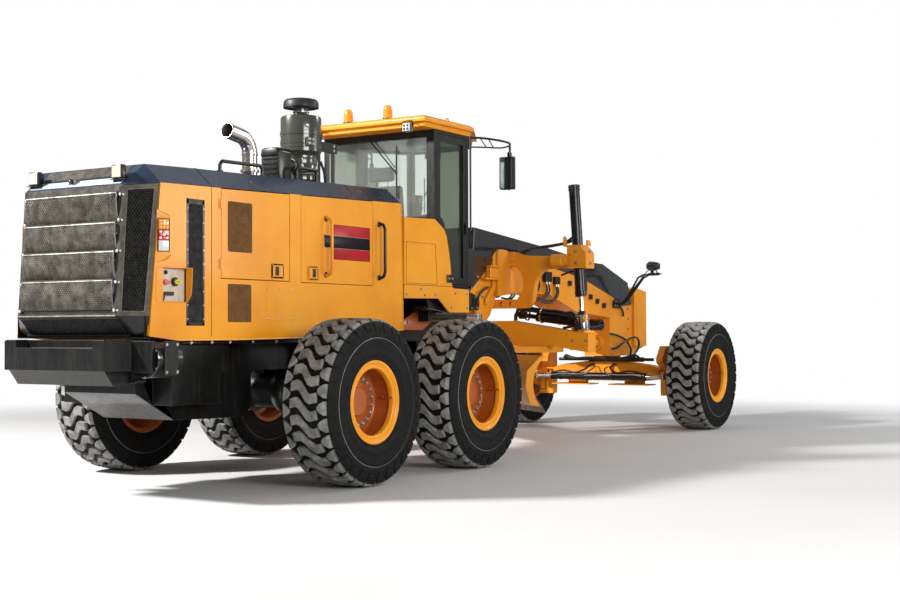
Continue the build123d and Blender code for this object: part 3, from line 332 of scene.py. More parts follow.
    m = Mat("seat_cloth_grey").set(sheen=0.4, sheen_rough=0.5, spec=0.2)
    weave = m.math("MULTIPLY", m.wave(220.0, "X"), m.wave(220.0, "Z"))
    m.color(m.mix(weave, (0.020, 0.021, 0.024), (0.070, 0.072, 0.078)))
    m.rough(m.grey(m.noise(90.0, 3.0, 0.6), (0.3, 0.8), (0.7, 0.95))).bump(weave, 0.5, 0.001)
    M["cloth"] = m.m

    m = Mat("black_wire_screen").set(metal=0.5)
    m.color(m.ramp(m.noise(30.0, 4.0, 0.6), (0.35, (0.022, 0.022, 0.022)), (0.7, (0.075, 0.072, 0.066))))
    m.rough(m.grey(m.noise(60.0, 2.0, 0.5), (0.3, 0.3), (0.7, 0.5)))
    M["mesh_dark"] = m.m

    m = Mat("fan_blade_pale").set(spec=0.4)
    m.color(m.ramp(m.noise(9.0, 4.0, 0.6), (0.3, (0.30, 0.28, 0.20)), (0.7, (0.52, 0.50, 0.38))))
    m.rough(m.grey(m.noise(30.0, 3.0, 0.6), (0.3, 0.4), (0.7, 0.6)))
    M["fan"] = m.m

    m = Mat("brown_plate_deep").set(spec=0.3)
    m.color(m.ramp(m.noise(14.0, 4.0, 0.6), (0.35, (0.16, 0.060, 0.012)), (0.7, (0.25, 0.10, 0.022))))
    m.rough(m.grey(m.noise(30.0, 3.0, 0.6), (0.3, 0.5), (0.7, 0.7)))
    M["brown_deep"] = m.m

    # painted reflection: pale blue-grey for the sheen along the hood's rear edge
    m = Mat("pale_blue_painted_reflection").set(coat=0.8, coat_rough=0.05)
    m.color(m.ramp(m.noise(1.6, 3.0, 0.5), (0.35, (0.42, 0.50, 0.62)), (0.65, (0.66, 0.72, 0.80))))
    m.rough(m.grey(m.noise(30.0, 3.0, 0.6), (0.3, 0.15), (0.7, 0.3)))
    M["pale_blue"] = m.m

    m = Mat("cream_inner_plate").set(spec=0.4)
    m.color(m.ramp(m.noise(12.0, 4.0, 0.6), (0.35, (0.52, 0.45, 0.34)), (0.7, (0.68, 0.61, 0.50))))
    m.rough(m.grey(m.noise(30.0, 3.0, 0.6), (0.3, 0.4), (0.7, 0.6)))
    M["cream"] = m.m

    m = Mat("yellow_knob").set(coat=0.5)
    m.color(m.ramp(m.noise(20.0, 3.0, 0.6), (0.3, (0.72, 0.52, 0.01)), (0.7, (0.88, 0.66, 0.02))))
    m.rough(m.grey(m.noise(60.0, 3.0, 0.6), (0.3, 0.3), (0.7, 0.45)))
    M["yellow"] = m.m

    # painted shade: a darker copy of the orange enamel, used inside the rims and on the stay under the cab
    m = Mat("orange_enamel_shaded").set(coat=0.3, coat_rough=0.15)
    m.color(m.ramp(m.noise(2.0, 4.0, 0.6), (0.3, (0.33, 0.070, 0.008)), (0.7, (0.44, 0.098, 0.010))))
    m.rough(m.grey(m.noise(12.0, 4.0, 0.6), (0.3, 0.34), (0.7, 0.5)))
    M["orange_shade"] = m.m

    m = Mat("white_lens_ribbed").set(coat=1.0, coat_rough=0.05)
    m.color(m.ramp(m.wave(70.0, "Z"), (0.3, (0.66, 0.68, 0.70)), (0.7, (0.84, 0.85, 0.86))))
    m.rough(m.grey(m.noise(40.0, 2.0, 0.5), (0.3, 0.08), (0.7, 0.2)))
    M["white_lens"] = m.m

    m = Mat("sooty_steel_inside").set(metal=0.5)
    m.color(m.ramp(m.noise(18.0, 4.0, 0.6), (0.3, (0.10, 0.085, 0.060)), (0.7, (0.20, 0.17, 0.125))))
    m.rough(m.grey(m.noise(30.0, 3.0, 0.6), (0.3, 0.55), (0.7, 0.75)))
    M["steel_inside"] = m.m

    m = Mat("radiator_core").set(metal=0.7)
    m.color(m.ramp(m.wave(90.0, "Z"), (0.3, (0.055, 0.055, 0.055)), (0.7, (0.26, 0.26, 0.255))))
    m.rough(m.grey(m.noise(30.0, 3.0, 0.6), (0.3, 0.4), (0.7, 0.6)))
    M["core"] = m.m
    return M


M = make_materials()


# ------------------------------------------------------------------ mesh building

class Piece:
    """One visible piece, built in the layout frame, that rides on one body."""

    def __init__(self, name, body, *mats):
        self.name, self.body, self.mats = name, body, list(mats)
        self.bm = bmesh.new()
        self.matrix = Matrix.Identity(4)

    def add(self, verts, faces, mat=0, smooth=False):
        vs = [self.bm.verts.new(self.matrix @ Vector(v)) for v in verts]
        for f in faces:
            try:
                face = self.bm.faces.new([vs[i] for i in f])
            except ValueError:
                continue
            face.material_index = mat
            face.smooth = smooth
        return vs

    def box(self, x0, x1, y0, y1, z0, z1, mat=0, turn=None, bevel=0.0, seg=1):
        c = Vector(((x0 + x1) / 2, (y0 + y1) / 2, (z0 + z1) / 2))
        h = Vector((abs(x1 - x0) / 2, abs(y1 - y0) / 2, abs(z1 - z0) / 2))
        R = turn if turn is not None else Matrix.Identity(3)
        if bevel:
            return self.rounded(c, h, bevel, R, mat, seg)
        vs = [c + R @ Vector((sx * h.x, sy * h.y, sz * h.z)) for sx in (-1, 1) for sy in (-1, 1) for sz in (-1, 1)]
        fs = [(0, 1, 3, 2), (4, 6, 7, 5), (0, 4, 5, 1), (2, 3, 7, 6), (0, 2, 6, 4), (1, 5, 7, 3)]
        return self.add(vs, fs, mat)

    def rounded(self, c, h, r, R, mat, seg=2):
        """Box with rounded edges."""
        r = min(r, min(h) * 0.98)
        tmp = bmesh.new()
        bmesh.ops.create_cube(tmp, size=1.0)
        for v in tmp.verts:
            v.co = Vector((v.co.x * 2 * h.x, v.co.y * 2 * h.y, v.co.z * 2 * h.z))
        bmesh.ops.bevel(tmp, geom=list(tmp.edges), offset=r, segments=seg, affect="EDGES", profile=0.5)
        self.take(tmp, Matrix.Translation(c) @ R.to_4x4(), mat, smooth=True)

    def take(self, tmp, matrix, mat, smooth=False, keep_mat=False):
        tmp.verts.index_update()
        vs = [self.bm.verts.new(self.matrix @ (matrix @ v.co)) for v in tmp.verts]
        for f in tmp.faces:
            try:
                g = self.bm.faces.new([vs[v.index] for v in f.verts])
            except ValueError:
                continue
            g.material_index = f.material_index if keep_mat else mat
            g.smooth = smooth
        tmp.free()

    def prism(self, pts, axis, lo, hi, mat=0, bevel=0.0, seg=2, smooth=False):
        """Outline swept along an axis: x takes (y, z), y takes (x, z), z takes (x, y)."""
        def at(p, d):
            return {"x": (d, p[0], p[1]), "y": (p[0], d, p[1]), "z": (p[0], p[1], d)}[axis]
        n = len(pts)
        if bevel:
            tmp = bmesh.new()
            a = [tmp.verts.new(at(p, lo)) for p in pts]
            b = [tmp.verts.new(at(p, hi)) for p in pts]
            tmp.faces.new(a)
            tmp.faces.new(b[::-1])
            for i in range(n):
                tmp.faces.new((a[i], a[(i + 1) % n], b[(i + 1) % n], b[i]))
            bmesh.ops.recalc_face_normals(tmp, faces=tmp.faces)
            bmesh.ops.bevel(tmp, geom=list(tmp.edges), offset=bevel, segments=seg, affect="EDGES", profile=0.5)
            self.take(tmp, Matrix.Identity(4), mat, smooth=True)
            return
        vs = [at(p, lo) for p in pts] + [at(p, hi) for p in pts]
        fs = [tuple(range(n)), tuple(range(2 * n - 1, n - 1, -1))] + [(i, (i + 1) % n, n + (i + 1) % n, n + i) for i in range(n)]
        self.add(vs, fs, mat, smooth)

    def frame_at(self, p, d):
        d = Vector(d).normalized()
        s = Vector((0, 0, 1)) if abs(d.z) < 0.9 else Vector((1, 0, 0))
        u = d.cross(s).normalized()
        return u, u.cross(d).normalized() * -1, d

    def cyl(self, p, q, r, seg=24, mat=0, r2=None, caps=True, chamfer=0.0):
        p, q = Vector(p), Vector(q)
        length = (q - p).length
        r2 = r if r2 is None else r2
        prof = [(0, 0), (0, r), (length, r2), (length, 0)]
        if chamfer:
            prof = [(0, 0), (0, r - chamfer), (chamfer, r), (length - chamfer, r2), (length, r2 - chamfer), (length, 0)]
        if not caps:
            prof = prof[1:-1]
        self.lathe(prof, p, q - p, seg, mat, start=0)

    def lathe(self, prof, centre, axis, seg=32, mat=0, start=0.0, smooth=True, mats=None):
        """Profile of (along, radius) turned about axis through centre. mats may give one material per profile leg."""
        c = Vector(centre)
        u, w, d = self.frame_at(c, axis)
        rings = []
        for a, r in prof:
            if r < 1e-6:
                rings.append([self.bm.verts.new(self.matrix @ (c + d * a))])
            else:
                rings.append([self.bm.verts.new(self.matrix @ (c + d * a + (u * math.cos(t) + w * math.sin(t)) * r))
                              for t in (start + 2 * math.pi * k / seg for k in range(seg))])
        for leg, (A, B) in enumerate(zip(rings, rings[1:])):
            for k in range(seg):
                k2 = (k + 1) % seg
                if len(A) == 1 and len(B) == 1:
                    continue
                if len(A) == 1:
                    f = (A[0], B[k2], B[k])
                elif len(B) == 1:
                    f = (A[k], A[k2], B[0])
                else:
                    f = (A[k], A[k2], B[k2], B[k])
                try:
                    face = self.bm.faces.new(f)
                except ValueError:
                    continue
                face.smooth = smooth
                face.material_index = mats[leg] if mats else mat

    def tube(self, pts, r, seg=10, mat=0, smooth_path=True, steps=6, caps=True):
        """Round tube along points, through a smooth curve when smooth_path."""
        P = [Vector(p) for p in pts]
        if smooth_path and len(P) > 2:
            Q = []
            ext = [P[0] * 2 - P[1]] + P + [P[-1] * 2 - P[-2]]
            for i in range(1, len(ext) - 2):
                p0, p1, p2, p3 = ext[i - 1:i + 3]
                for k in range(steps):
                    t = k / steps
                    Q.append(0.5 * ((2 * p1) + (p2 - p0) * t + (2 * p0 - 5 * p1 + 4 * p2 - p3) * t * t + (3 * p1 - p0 - 3 * p2 + p3) * t ** 3))
            Q.append(P[-1])
            P = Q
        tang = []
        for i in range(len(P)):
            a, b = P[max(0, i - 1)], P[min(len(P) - 1, i + 1)]
            tang.append((b - a).normalized())
        u = tang[0].orthogonal().normalized()
        rings = []
        for i, p in enumerate(P):
            u = (u - tang[i] * u.dot(tang[i]))
            u = u.normalized() if u.length > 1e-6 else tang[i].orthogonal().normalized()
            w = tang[i].cross(u)
            scale = 1.0
            if not smooth_path and 0 < i < len(P) - 1:
                h = (P[i] - P[i - 1]).normalized().dot((P[i + 1] - P[i]).normalized())
                scale = 1.0 / max(0.5, math.sqrt((1 + h) / 2))
            rings.append([self.bm.verts.new(self.matrix @ (p + (u * math.cos(t) + w * math.sin(t)) * r)) for t in (2 * math.pi * k / seg for k in range(seg))])
        for A, B in zip(rings, rings[1:]):
            for k in range(seg):
                f = self.bm.faces.new((A[k], A[(k + 1) % seg], B[(k + 1) % seg], B[k]))
                f.smooth, f.material_index = True, mat
        if caps:
            for R in (rings[0][::-1], rings[-1]):
                f = self.bm.faces.new(R)
                f.material_index = mat

    def bent(self, pts, r, bend, seg=12, mat=0, arc=5):
        """Straight legs joined by arcs of radius bend."""
        P = [Vector(p) for p in pts]
        out = [P[0]]
        for a, b, c in zip(P, P[1:], P[2:]):
            d1, d2 = (b - a).normalized(), (c - b).normalized()
            ang = d1.angle(d2)
            if ang < 1e-3:
                continue
            cut = min(bend * math.tan(ang / 2), 0.48 * (b - a).length, 0.48 * (c - b).length)
            s, e = b - d1 * cut, b + d2 * cut
            for k in range(arc + 1):
                t = k / arc
                out.append(s * (1 - t) ** 2 + b * 2 * t * (1 - t) + e * t * t)
        out.append(P[-1])
        self.tube(out, r, seg, mat, smooth_path=False)

    def bolt(self, p, d, size=0.012, mat=0, washer=True):
        """Hexagon head with its washer; size is the head's half width."""
        p, d = Vector(p), Vector(d).normalized()
        if washer:
            self.cyl(p, p + d * size * 0.22, size * 1.35, 14, mat)
        self.lathe([(size * 0.2, size), (size * 0.95, size), (size * 1.1, size * 0.82), (size * 1.1, 0)], p, d, 6, mat, smooth=False)

    def button(self, p, d, r=0.012, mat=0):
        """Round headed screw."""
        self.lathe([(0, r), (r * 0.25, r * 0.98), (r * 0.5, r * 0.7), (r * 0.6, r * 0.3), (r * 0.45, 0)], p, d, 12, mat)

    def done(self, slot=None, replaces=(), bevel=0.0, seg=2, angle=32, weld=True, subsurf=0):
        if weld:
            bmesh.ops.remove_doubles(self.bm, verts=self.bm.verts, dist=1e-5)
        bmesh.ops.recalc_face_normals(self.bm, faces=self.bm.faces)
        for v in self.bm.verts:
            v.co.x -= MX
            v.co.y -= MY
        me = bpy.data.meshes.new(self.name)
        self.bm.to_mesh(me)
        self.bm.free()
        for m in self.mats:
            me.materials.append(m)
        o = bpy.data.objects.new(self.name, me)
        bpy.context.scene.collection.objects.link(o)
        if subsurf:
            s = o.modifiers.new("subsurf", "SUBSURF")
            s.levels = s.render_levels = subsurf
        if bevel:
            b = o.modifiers.new("bevel", "BEVEL")
            b.width, b.segments, b.limit_method, b.angle_limit = bevel, seg, "ANGLE", math.radians(angle)
            b.harden_normals = True
            for f in me.polygons:
                f.use_smooth = True
        sharpen(me, angle)
        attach(o, self.body)
        if replaces:
            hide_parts(*replaces)
        return o


def sharpen(me, angle=32):
    """Marks edges sharper than the angle so smooth faces keep crisp corners."""
    bm = bmesh.new()
    bm.from_mesh(me)
    lim = math.radians(angle)
    for e in bm.edges:
        e.smooth = not (len(e.link_faces) == 2 and e.calc_face_angle(0) > lim)
    bm.to_mesh(me)
    bm.free()


def mirror_y(f):
    """Runs f for the right (-1) and the left (+1) side."""
    for s in (-1, 1):
        f(s)


# ------------------------------------------------------------------ carried-over CAD nodes: softened edges and finishes

FINISH = {  # node: (material, width of its softened edges)
    "hood_sides": ("orange", 0.004), "cab_roof": ("orange", 0.012), "cab_casing": ("orange", 0.010),
    "front_frame": ("orange_low", 0.007), "saddle": ("orange_low", 0.008), "front_axle": ("orange_low", 0.008), "knuckle_right": ("orange_low", 0.006),
    "knuckle_left": ("orange_low", 0.006), "drawbar": ("orange_low", 0.008), "circle": ("orange_low", 0.006), "blade_bracket": ("orange_low", 0.005),
    "moldboard": ("orange_low", 0.004), "hood_top": ("navy", 0.006), "rear_frame": ("black", 0.006), "rear_axle": ("black", 0.012),
    "rear_bumper": ("black", 0.008), "frame_cover": ("black_gloss", 0.005), "articulation_barrels": ("black", 0.004), "front_cylinders": ("black", 0.004),
    "shift_cylinder": ("black", 0.004), "cab_shell": ("black", 0.006), "cab_door_right": ("black", 0.006), "cab_door_left": ("black", 0.006),
    "handrails": ("black", 0.0), "front_lamps": ("black", 0.003), "rear_grille": ("frame_dark", 0.005), "air_cleaner": ("olive", 0.004),
    "exhaust_stack": ("steel", 0.002), "engine_block": ("core", 0.010), "articulation_rod_right": ("chrome", 0.002), "articulation_rod_left": ("chrome", 0.002),
    "lift_rod_right": ("chrome", 0.003), "lift_rod_left": ("chrome", 0.003), "tip_rod": ("chrome", 0.002), "steering_rods": ("chrome", 0.002),
    "cab_windows": ("glass", 0.0), "cab_door_glass_right": ("glass_door", 0.0), "cab_door_glass_left": ("glass_door", 0.0), "mirrors": ("plastic", 0.010),
    "control_console": ("plastic", 0.010), "rear_lamps": ("white", 0.004), "operator_seat": ("cloth", 0.02), "cutting_edge": ("worn", 0.002),
    "engine_door_right_rear": ("orange", 0.004), "engine_door_right_front": ("orange", 0.004), "engine_door_left_rear": ("orange", 0.004), "engine_door_left_front": ("orange", 0.004),
}
for w in ("rear_right", "middle_right", "rear_left", "middle_left", "front_right", "front_left"):
    FINISH["tyre_" + w] = ("rubber", 0.0)
    FINISH["rim_" + w] = ("orange", 0.003)


def finish_node(name, mat, width):
    o = NODES[name]
    if o.data.materials:
        for i in range(len(o.data.materials)):
            o.data.materials[i] = M[mat]
    else:
        o.data.materials.append(M[mat])
    w = o.modifiers.new("weld", "WELD")
    w.merge_threshold = 0.00002
    if width:
        d = o.modifiers.new("flat", "DECIMATE")
        d.decimate_type, d.angle_limit = "DISSOLVE", math.radians(0.6)
        b = o.modifiers.new("bevel", "BEVEL")
        b.width, b.segments, b.limit_method, b.angle_limit = width, 2, "ANGLE", math.radians(28)
        b.harden_normals = True
        n = o.modifiers.new("facing", "WEIGHTED_NORMAL")
        n.weight, n.mode = 90, "FACE_AREA"
    else:
        e = o.modifiers.new("crisp", "EDGE_SPLIT")
        e.split_angle = math.radians(30)
    for f in o.data.polygons:
        f.use_smooth = True


for name, (mat, width) in FINISH.items():
    finish_node(name, mat, width)


# ------------------------------------------------------------------ plates, frames and wire screens

def lerp(a, b, t):
    return Vector(a) * (1 - t) + Vector(b) * t


def plate(p, q, t, mat=0, out=None):
    """Flat plate between corners q, t thick, its outer face at q; out is a rough outward direction."""
    q = [Vector(v) for v in q]
    n = (q[1] - q[0]).cross(q[2] - q[1]).normalized()
    if out is not None and n.dot(Vector(out)) < 0:
        n = -n
    m = len(q)
    vs = q + [v - n * t for v in q]
    fs = [tuple(range(m)), tuple(range(2 * m - 1, m - 1, -1))] + [(i, (i + 1) % m, m + (i + 1) % m, m + i) for i in range(m)]
    p.add(vs, fs, mat)


def inset(q, w):
    """Corners of a flat four-sided outline moved inward by w."""
    q = [Vector(v) for v in q]
    out = []
    for i in range(4):
        e1, e2 = (q[i - 1] - q[i]).normalized(), (q[(i + 1) % 4] - q[i]).normalized()
        s = math.sin(e1.angle(e2))
        out.append(q[i] + (e1 + e2) * (w / s))
    return out


def frame_plate(p, q, w, t, mat=0, out=None):
    """Frame of four mitred bars round the outline q."""
    r = inset(q, w)
    for i in range(4):
        j = (i + 1) % 4
        plate(p, (q[i], q[j], r[j], r[i]), t, mat, out)


def screen(p, q, pitch, wire, mat=0, out=None, bow=0.0, lift=0.0, slant=1.0):
    """Diamond screen of crossing strands over the four corners q (bottom left, bottom right, top right, top left)."""
    a, b, c, d = [Vector(v) for v in q]
    W = ((b - a).length + (c - d).length) / 2
    H = ((d - a).length + (c - b).length) / 2
    n = (b - a).cross(d - a).normalized()
    if out is not None and n.dot(Vector(out)) < 0:
        n = -n

    def at(u, v, h):
        s, t = u / W, v / H
        return (a * (1 - s) + b * s) * (1 - t) + (d * (1 - s) + c * s) * t + n * (bow * 4 * t * (1 - t) + lift + h)
    steps = 6 if bow else 1
    for sgn in (-1, 1):
        count = int((W + H * slant) / pitch) + 1
        for i in range(count + 1):
            u0 = i * pitch if sgn < 0 else i * pitch - H * slant
            # u = u0 + sgn * slant * v, kept within the outline
            lo, hi = 0.0, H
            k = sgn * slant
            va, vb = (0 - u0) / k, (W - u0) / k
            lo, hi = max(lo, min(va, vb)), min(hi, max(va, vb))
            if hi - lo < pitch * 0.3:
                continue
            dn = max(1, round(steps * (hi - lo) / H))
            side = Vector((1, -k)).normalized() * wire
            vs = []
            for j in range(dn + 1):
                v = lo + (hi - lo) * j / dn
                u = u0 + k * v
                vs += [at(u - side.x, v - side.y, 0), at(u, v, wire * 0.9), at(u + side.x, v + side.y, 0)]
            fs = []
            for j in range(dn):
                fs += [(3 * j, 3 * j + 1, 3 * j + 4, 3 * j + 3), (3 * j + 1, 3 * j + 2, 3 * j + 5, 3 * j + 4)]
            p.add(vs, fs, mat)


def holes_sheet(p, q, pitch, r, mat_hole, out, lift=0.0008, stagger=True):
    """Rows of small dark punched holes laid on the sheet q."""
    a, b, c, d = [Vector(v) for v in q]
    W, H = (b - a).length, (d - a).length
    n = (b - a).cross(d - a).normalized()
    if n.dot(Vector(out)) < 0:
        n = -n
    ex, ey = (b - a).normalized(), (d - a).normalized()
    rows = int(H / (pitch * 0.866))
    for j in range(rows):
        cols = int(W / pitch) - (j % 2 if stagger else 0)
        for i in range(cols):
            o = a + ex * ((i + 0.5 + (0.5 if j % 2 and stagger else 0)) * pitch) + ey * ((j + 0.5) * pitch * 0.866) + n * lift
            p.add([o + (ex * math.cos(t) + ey * math.sin(t)) * r for t in (math.pi / 3 * k + 0.5 for k in range(6))], [tuple(range(6))], mat_hole)


# ------------------------------------------------------------------ wheels

TYRE_R, TYRE_HALF = 0.7465, 0.2605
PITCHES = 31
STEP = 2 * math.pi * TYRE_R / PITCHES


def crown(t):
    """Tread surface radius across the tyre."""
    return TYRE_R - 0.0125 * (abs(t) / 0.24) ** 2.4


def lug(p, c, side, stations, base_drop, i, mat=1):
    """Raised block from stations of (t, s low, s high); t across, s round the tyre, both in metres. Three levels give it a rounded shoulder."""
    levels = ((base_drop, 0.0), (0.0045, 0.0012), (0.0, 0.0052))
    mid = (sum(a[1] + a[2] for a in stations) / (2 * len(stations)))
    t_mid = (stations[0][0] + stations[-1][0]) / 2
    rows = []
    for drop, inset in levels:
        lo, hi = [], []
        for k, (t, s0, s1, *rr) in enumerate(stations):
            tt = t + (inset if k == 0 else -inset if k == len(stations) - 1 else 0) * (1 if stations[-1][0] > stations[0][0] else -1)
            R = (rr[0] if rr else crown(tt)) - drop
            for s, out in ((s0 + inset, lo), (s1 - inset, hi)):
                a = (i + s / STEP) * 2 * math.pi / PITCHES
                out.append((c[0] + R * math.sin(a), c[1] + side * tt, c[2] + R * math.cos(a)))
        rows.append((lo, hi))
    n = len(stations)
    ring = [r[0] + r[1][::-1] for r in rows]
    vs = [v for r in ring for v in r]
    m = 2 * n
    faces = []
    for L in range(2):
        for k in range(m):
            faces.append((L * m + k, L * m + (k + 1) % m, (L + 1) * m + (k + 1) % m, (L + 1) * m + k))
    for k in range(n - 1):
        faces.append((2 * m + k, 2 * m + k + 1, 2 * m + m - 2 - k, 2 * m + m - 1 - k))
    p.add(vs, faces, mat)


def make_tyre(name, x, y):
    side = 1 if y > 0 else -1
    c = (x, y, TYRE_R)
    p = Piece("tread_" + name, "wheel_" + name, M["rubber"], M["tread"])
    floor = 0.030
    prof = [(-0.216, 0.334), (-0.222, 0.352), (-0.236, 0.376), (-0.243, 0.384), (-0.243, 0.392), (-0.240, 0.396), (-0.247, 0.420), (-0.2525, 0.440),
            (-0.2535, 0.444), (-0.2535, 0.452), (-0.2520, 0.456), (-0.2570, 0.500), (-0.2600, 0.540), (-0.2604, 0.566), (-0.2585, 0.570), (-0.2585, 0.576),
            (-0.2600, 0.580), (-0.2560, 0.624), (-0.2500, 0.660), (-0.2440, 0.682), (-0.2360, 0.700), (-0.2180, crown(0.218) - floor)]
    prof += [(t, crown(t) - floor) for t in (-0.17, -0.10, 0.0)]
    prof += [(-a, r) for a, r in reversed(prof[:-1])]
    p.lathe(prof, c, (0, 1, 0), 120, mats=[1 if 0.5655 < min(prof[k][1], prof[k + 1][1]) and max(prof[k][1], prof[k + 1][1]) < 0.5705 else 0 for k in range(len(prof) - 1)])
    zig = ((-0.140, 0.052), (-0.070, 0.068), (-0.036, 0.050), (0.036, -0.040), (0.070, -0.058), (0.140, -0.042))
    for i in range(PITCHES):
        half = 0.0440
        lug(p, c, side, [(t, s - half, s + half) for t, s in zig], floor, i)
        # wedge blocks on both shoulders, running down on to the wall
        for e in (-1, 1):
            s = 0.0500 * -e + 0.5 * STEP - (0.010 if e > 0 else -0.010)
            block = [(0.148, s - 0.012, s + 0.014), (0.168, s - 0.034, s + 0.036), (0.212, s - 0.060, s + 0.062, crown(0.212)),
                     (0.238, s - 0.063, s + 0.065, 0.717)]
            lug(p, c, side * e, block, floor - 0.004, i)
            # the lug's dark root on the wall
            root = [(0.237, s - 0.064, s + 0.066, 0.716), (0.2495, s - 0.060, s + 0.062, 0.694), (0.2570, s - 0.046, s + 0.048, 0.660), (0.2603, s - 0.040, s + 0.042, 0.630)]
            lug(p, c, side * e, root, 0.010, i, 0)
        # low ribs between the blocks on each wall
        for e in (-1, 1):
            a0 = (i + 0.5) * 2 * math.pi / PITCHES
            for r0, r1, w in ((0.600, 0.668, 0.006),):
                vs = []
                for r, half_w, off in ((r0, w * 0.6, 0.0020), (r1, w, 0.0012)):
                    for sgn in (-1, 1):
                        a = a0 + sgn * half_w / r
                        t = 0.2588 if r < 0.62 else 0.2478
                        vs.append((c[0] + r * math.sin(a), c[1] + e * (t + off), c[2] + r * math.cos(a)))
                p.add(vs, [(0, 1, 3, 2)], 0)
    p.done(slot="tyre_rubber", replaces=("tyre_" + name,), angle=40)


def make_rim(name, x, y):
    side = 1 if y > 0 else -1
    c = Vector((x, y, TYRE_R))
    d = Vector((0, side, 0))
    p = Piece("disc_" + name, "wheel_" + name, M["orange"], M["zinc"], M["black"], M["orange_shade"])
    outer = [(0.0520, 0.0), (0.0530, 0.050), (0.0520, 0.120), (0.0480, 0.127), (0.0350, 0.132), (0.0320, 0.138), (0.0320, 0.248), (0.0290, 0.256),
             (0.0200, 0.261), (-0.0030, 0.270), (-0.0048, 0.283), (-0.0030, 0.297), (0.0060, 0.3065), (0.0220, 0.3112), (0.1480, 0.3115), (0.1580, 0.3070),
             (0.1680, 0.2975), (0.1760, 0.2950), (0.2060, 0.2955), (0.2150, 0.2990), (0.2200, 0.3060), (0.2205, 0.3180), (0.2165, 0.3240), (0.2180, 0.3330),
             (0.2260, 0.3420), (0.2325, 0.3500), (0.2352, 0.3600), (0.2353, 0.3680), (0.2320, 0.3725), (0.2265, 0.3728), (0.2230, 0.3690), (0.2222, 0.3310), (0.2, 0.3302)]
    # the lip takes the body orange; the barrel, disc and hub inside take orange_shade, a darker orange that paints the
    # shade of the deep dish
    p.lathe(outer, c, d, 72, 0, mats=[3 if outer[k + 1][0] < 0.170 and k < 20 else 0 for k in range(len(outer) - 1)])
    inner = [(-0.200, 0.3302), (-0.2222, 0.3310), (-0.2230, 0.3690), (-0.2265, 0.3728), (-0.2320, 0.3725), (-0.2352, 0.3680), (-0.2350, 0.3600), (-0.2320, 0.3490),
             (-0.2250, 0.3420), (-0.1900, 0.3350), (-0.1700, 0.3180), (-0.1600, 0.3130), (-0.0500, 0.3125), (-0.0360, 0.3070), (-0.0300, 0.2950), (-0.0300, 0.120), (-0.0280, 0.100), (0.009, 0.099), (0.010, 0.0)]
    p.lathe(inner, c, d, 72, 3)
    def at(a, along, r):
        return c + d * along + Vector((math.cos(a) * r, 0, math.sin(a) * r))
    for k in range(18):
        a = 2 * math.pi * (k + 0.5) / 18
        p.cyl(at(a, 0.031, 0.210), at(a, 0.036, 0.210), 0.0225, 18, 1)
        p.bolt(at(a, 0.036, 0.210), d, 0.0165, 1, washer=False)
        p.cyl(at(a, 0.050, 0.210), at(a, 0.060, 0.210), 0.0095, 12, 1, chamfer=0.0015)
    # valve stem clipped to the dish, in the darker orange of painted shade
    p.tube([at(0.1, 0.060, 0.306), at(0.1, 0.110, 0.296), at(0.1, 0.165, 0.284), at(0.1, 0.205, 0.286)], 0.006, 8, 3)
    p.cyl(at(0.1, 0.203, 0.286), at(0.1, 0.218, 0.287), 0.0078, 10, 1)
    p.box(c.x + 0.288, c.x + 0.312, c.y + d.y * 0.10 - 0.01, c.y + d.y * 0.10 + 0.01, c.z + 0.02, c.z + 0.042, 3, bevel=0.003)
    p.done(slot="orange_paint", replaces=("rim_" + name,), angle=28)


WHEELS = [("rear_right", 0.0, -1.3985), ("middle_right", 1.912, -1.3985), ("rear_left", 0.0, 1.3985), ("middle_left", 1.912, 1.3985),
          ("front_right", 8.116, -1.4465), ("front_left", 8.116, 1.4465)]
for name, x, y in WHEELS:
    make_tyre(name, x, y)
    make_rim(name, x, y)


# ------------------------------------------------------------------ rear end: grille, screens, lamps, bumper

def grille_point(z, y, corner=False):
    """Rear face at height z; corner gives the forward end of the chamfer."""
    t = (z - 1.501) / 1.047
    x = -1.905 + 0.115 * t if corner else -2.065 + 0.070 * t
    return Vector((x, y, z))


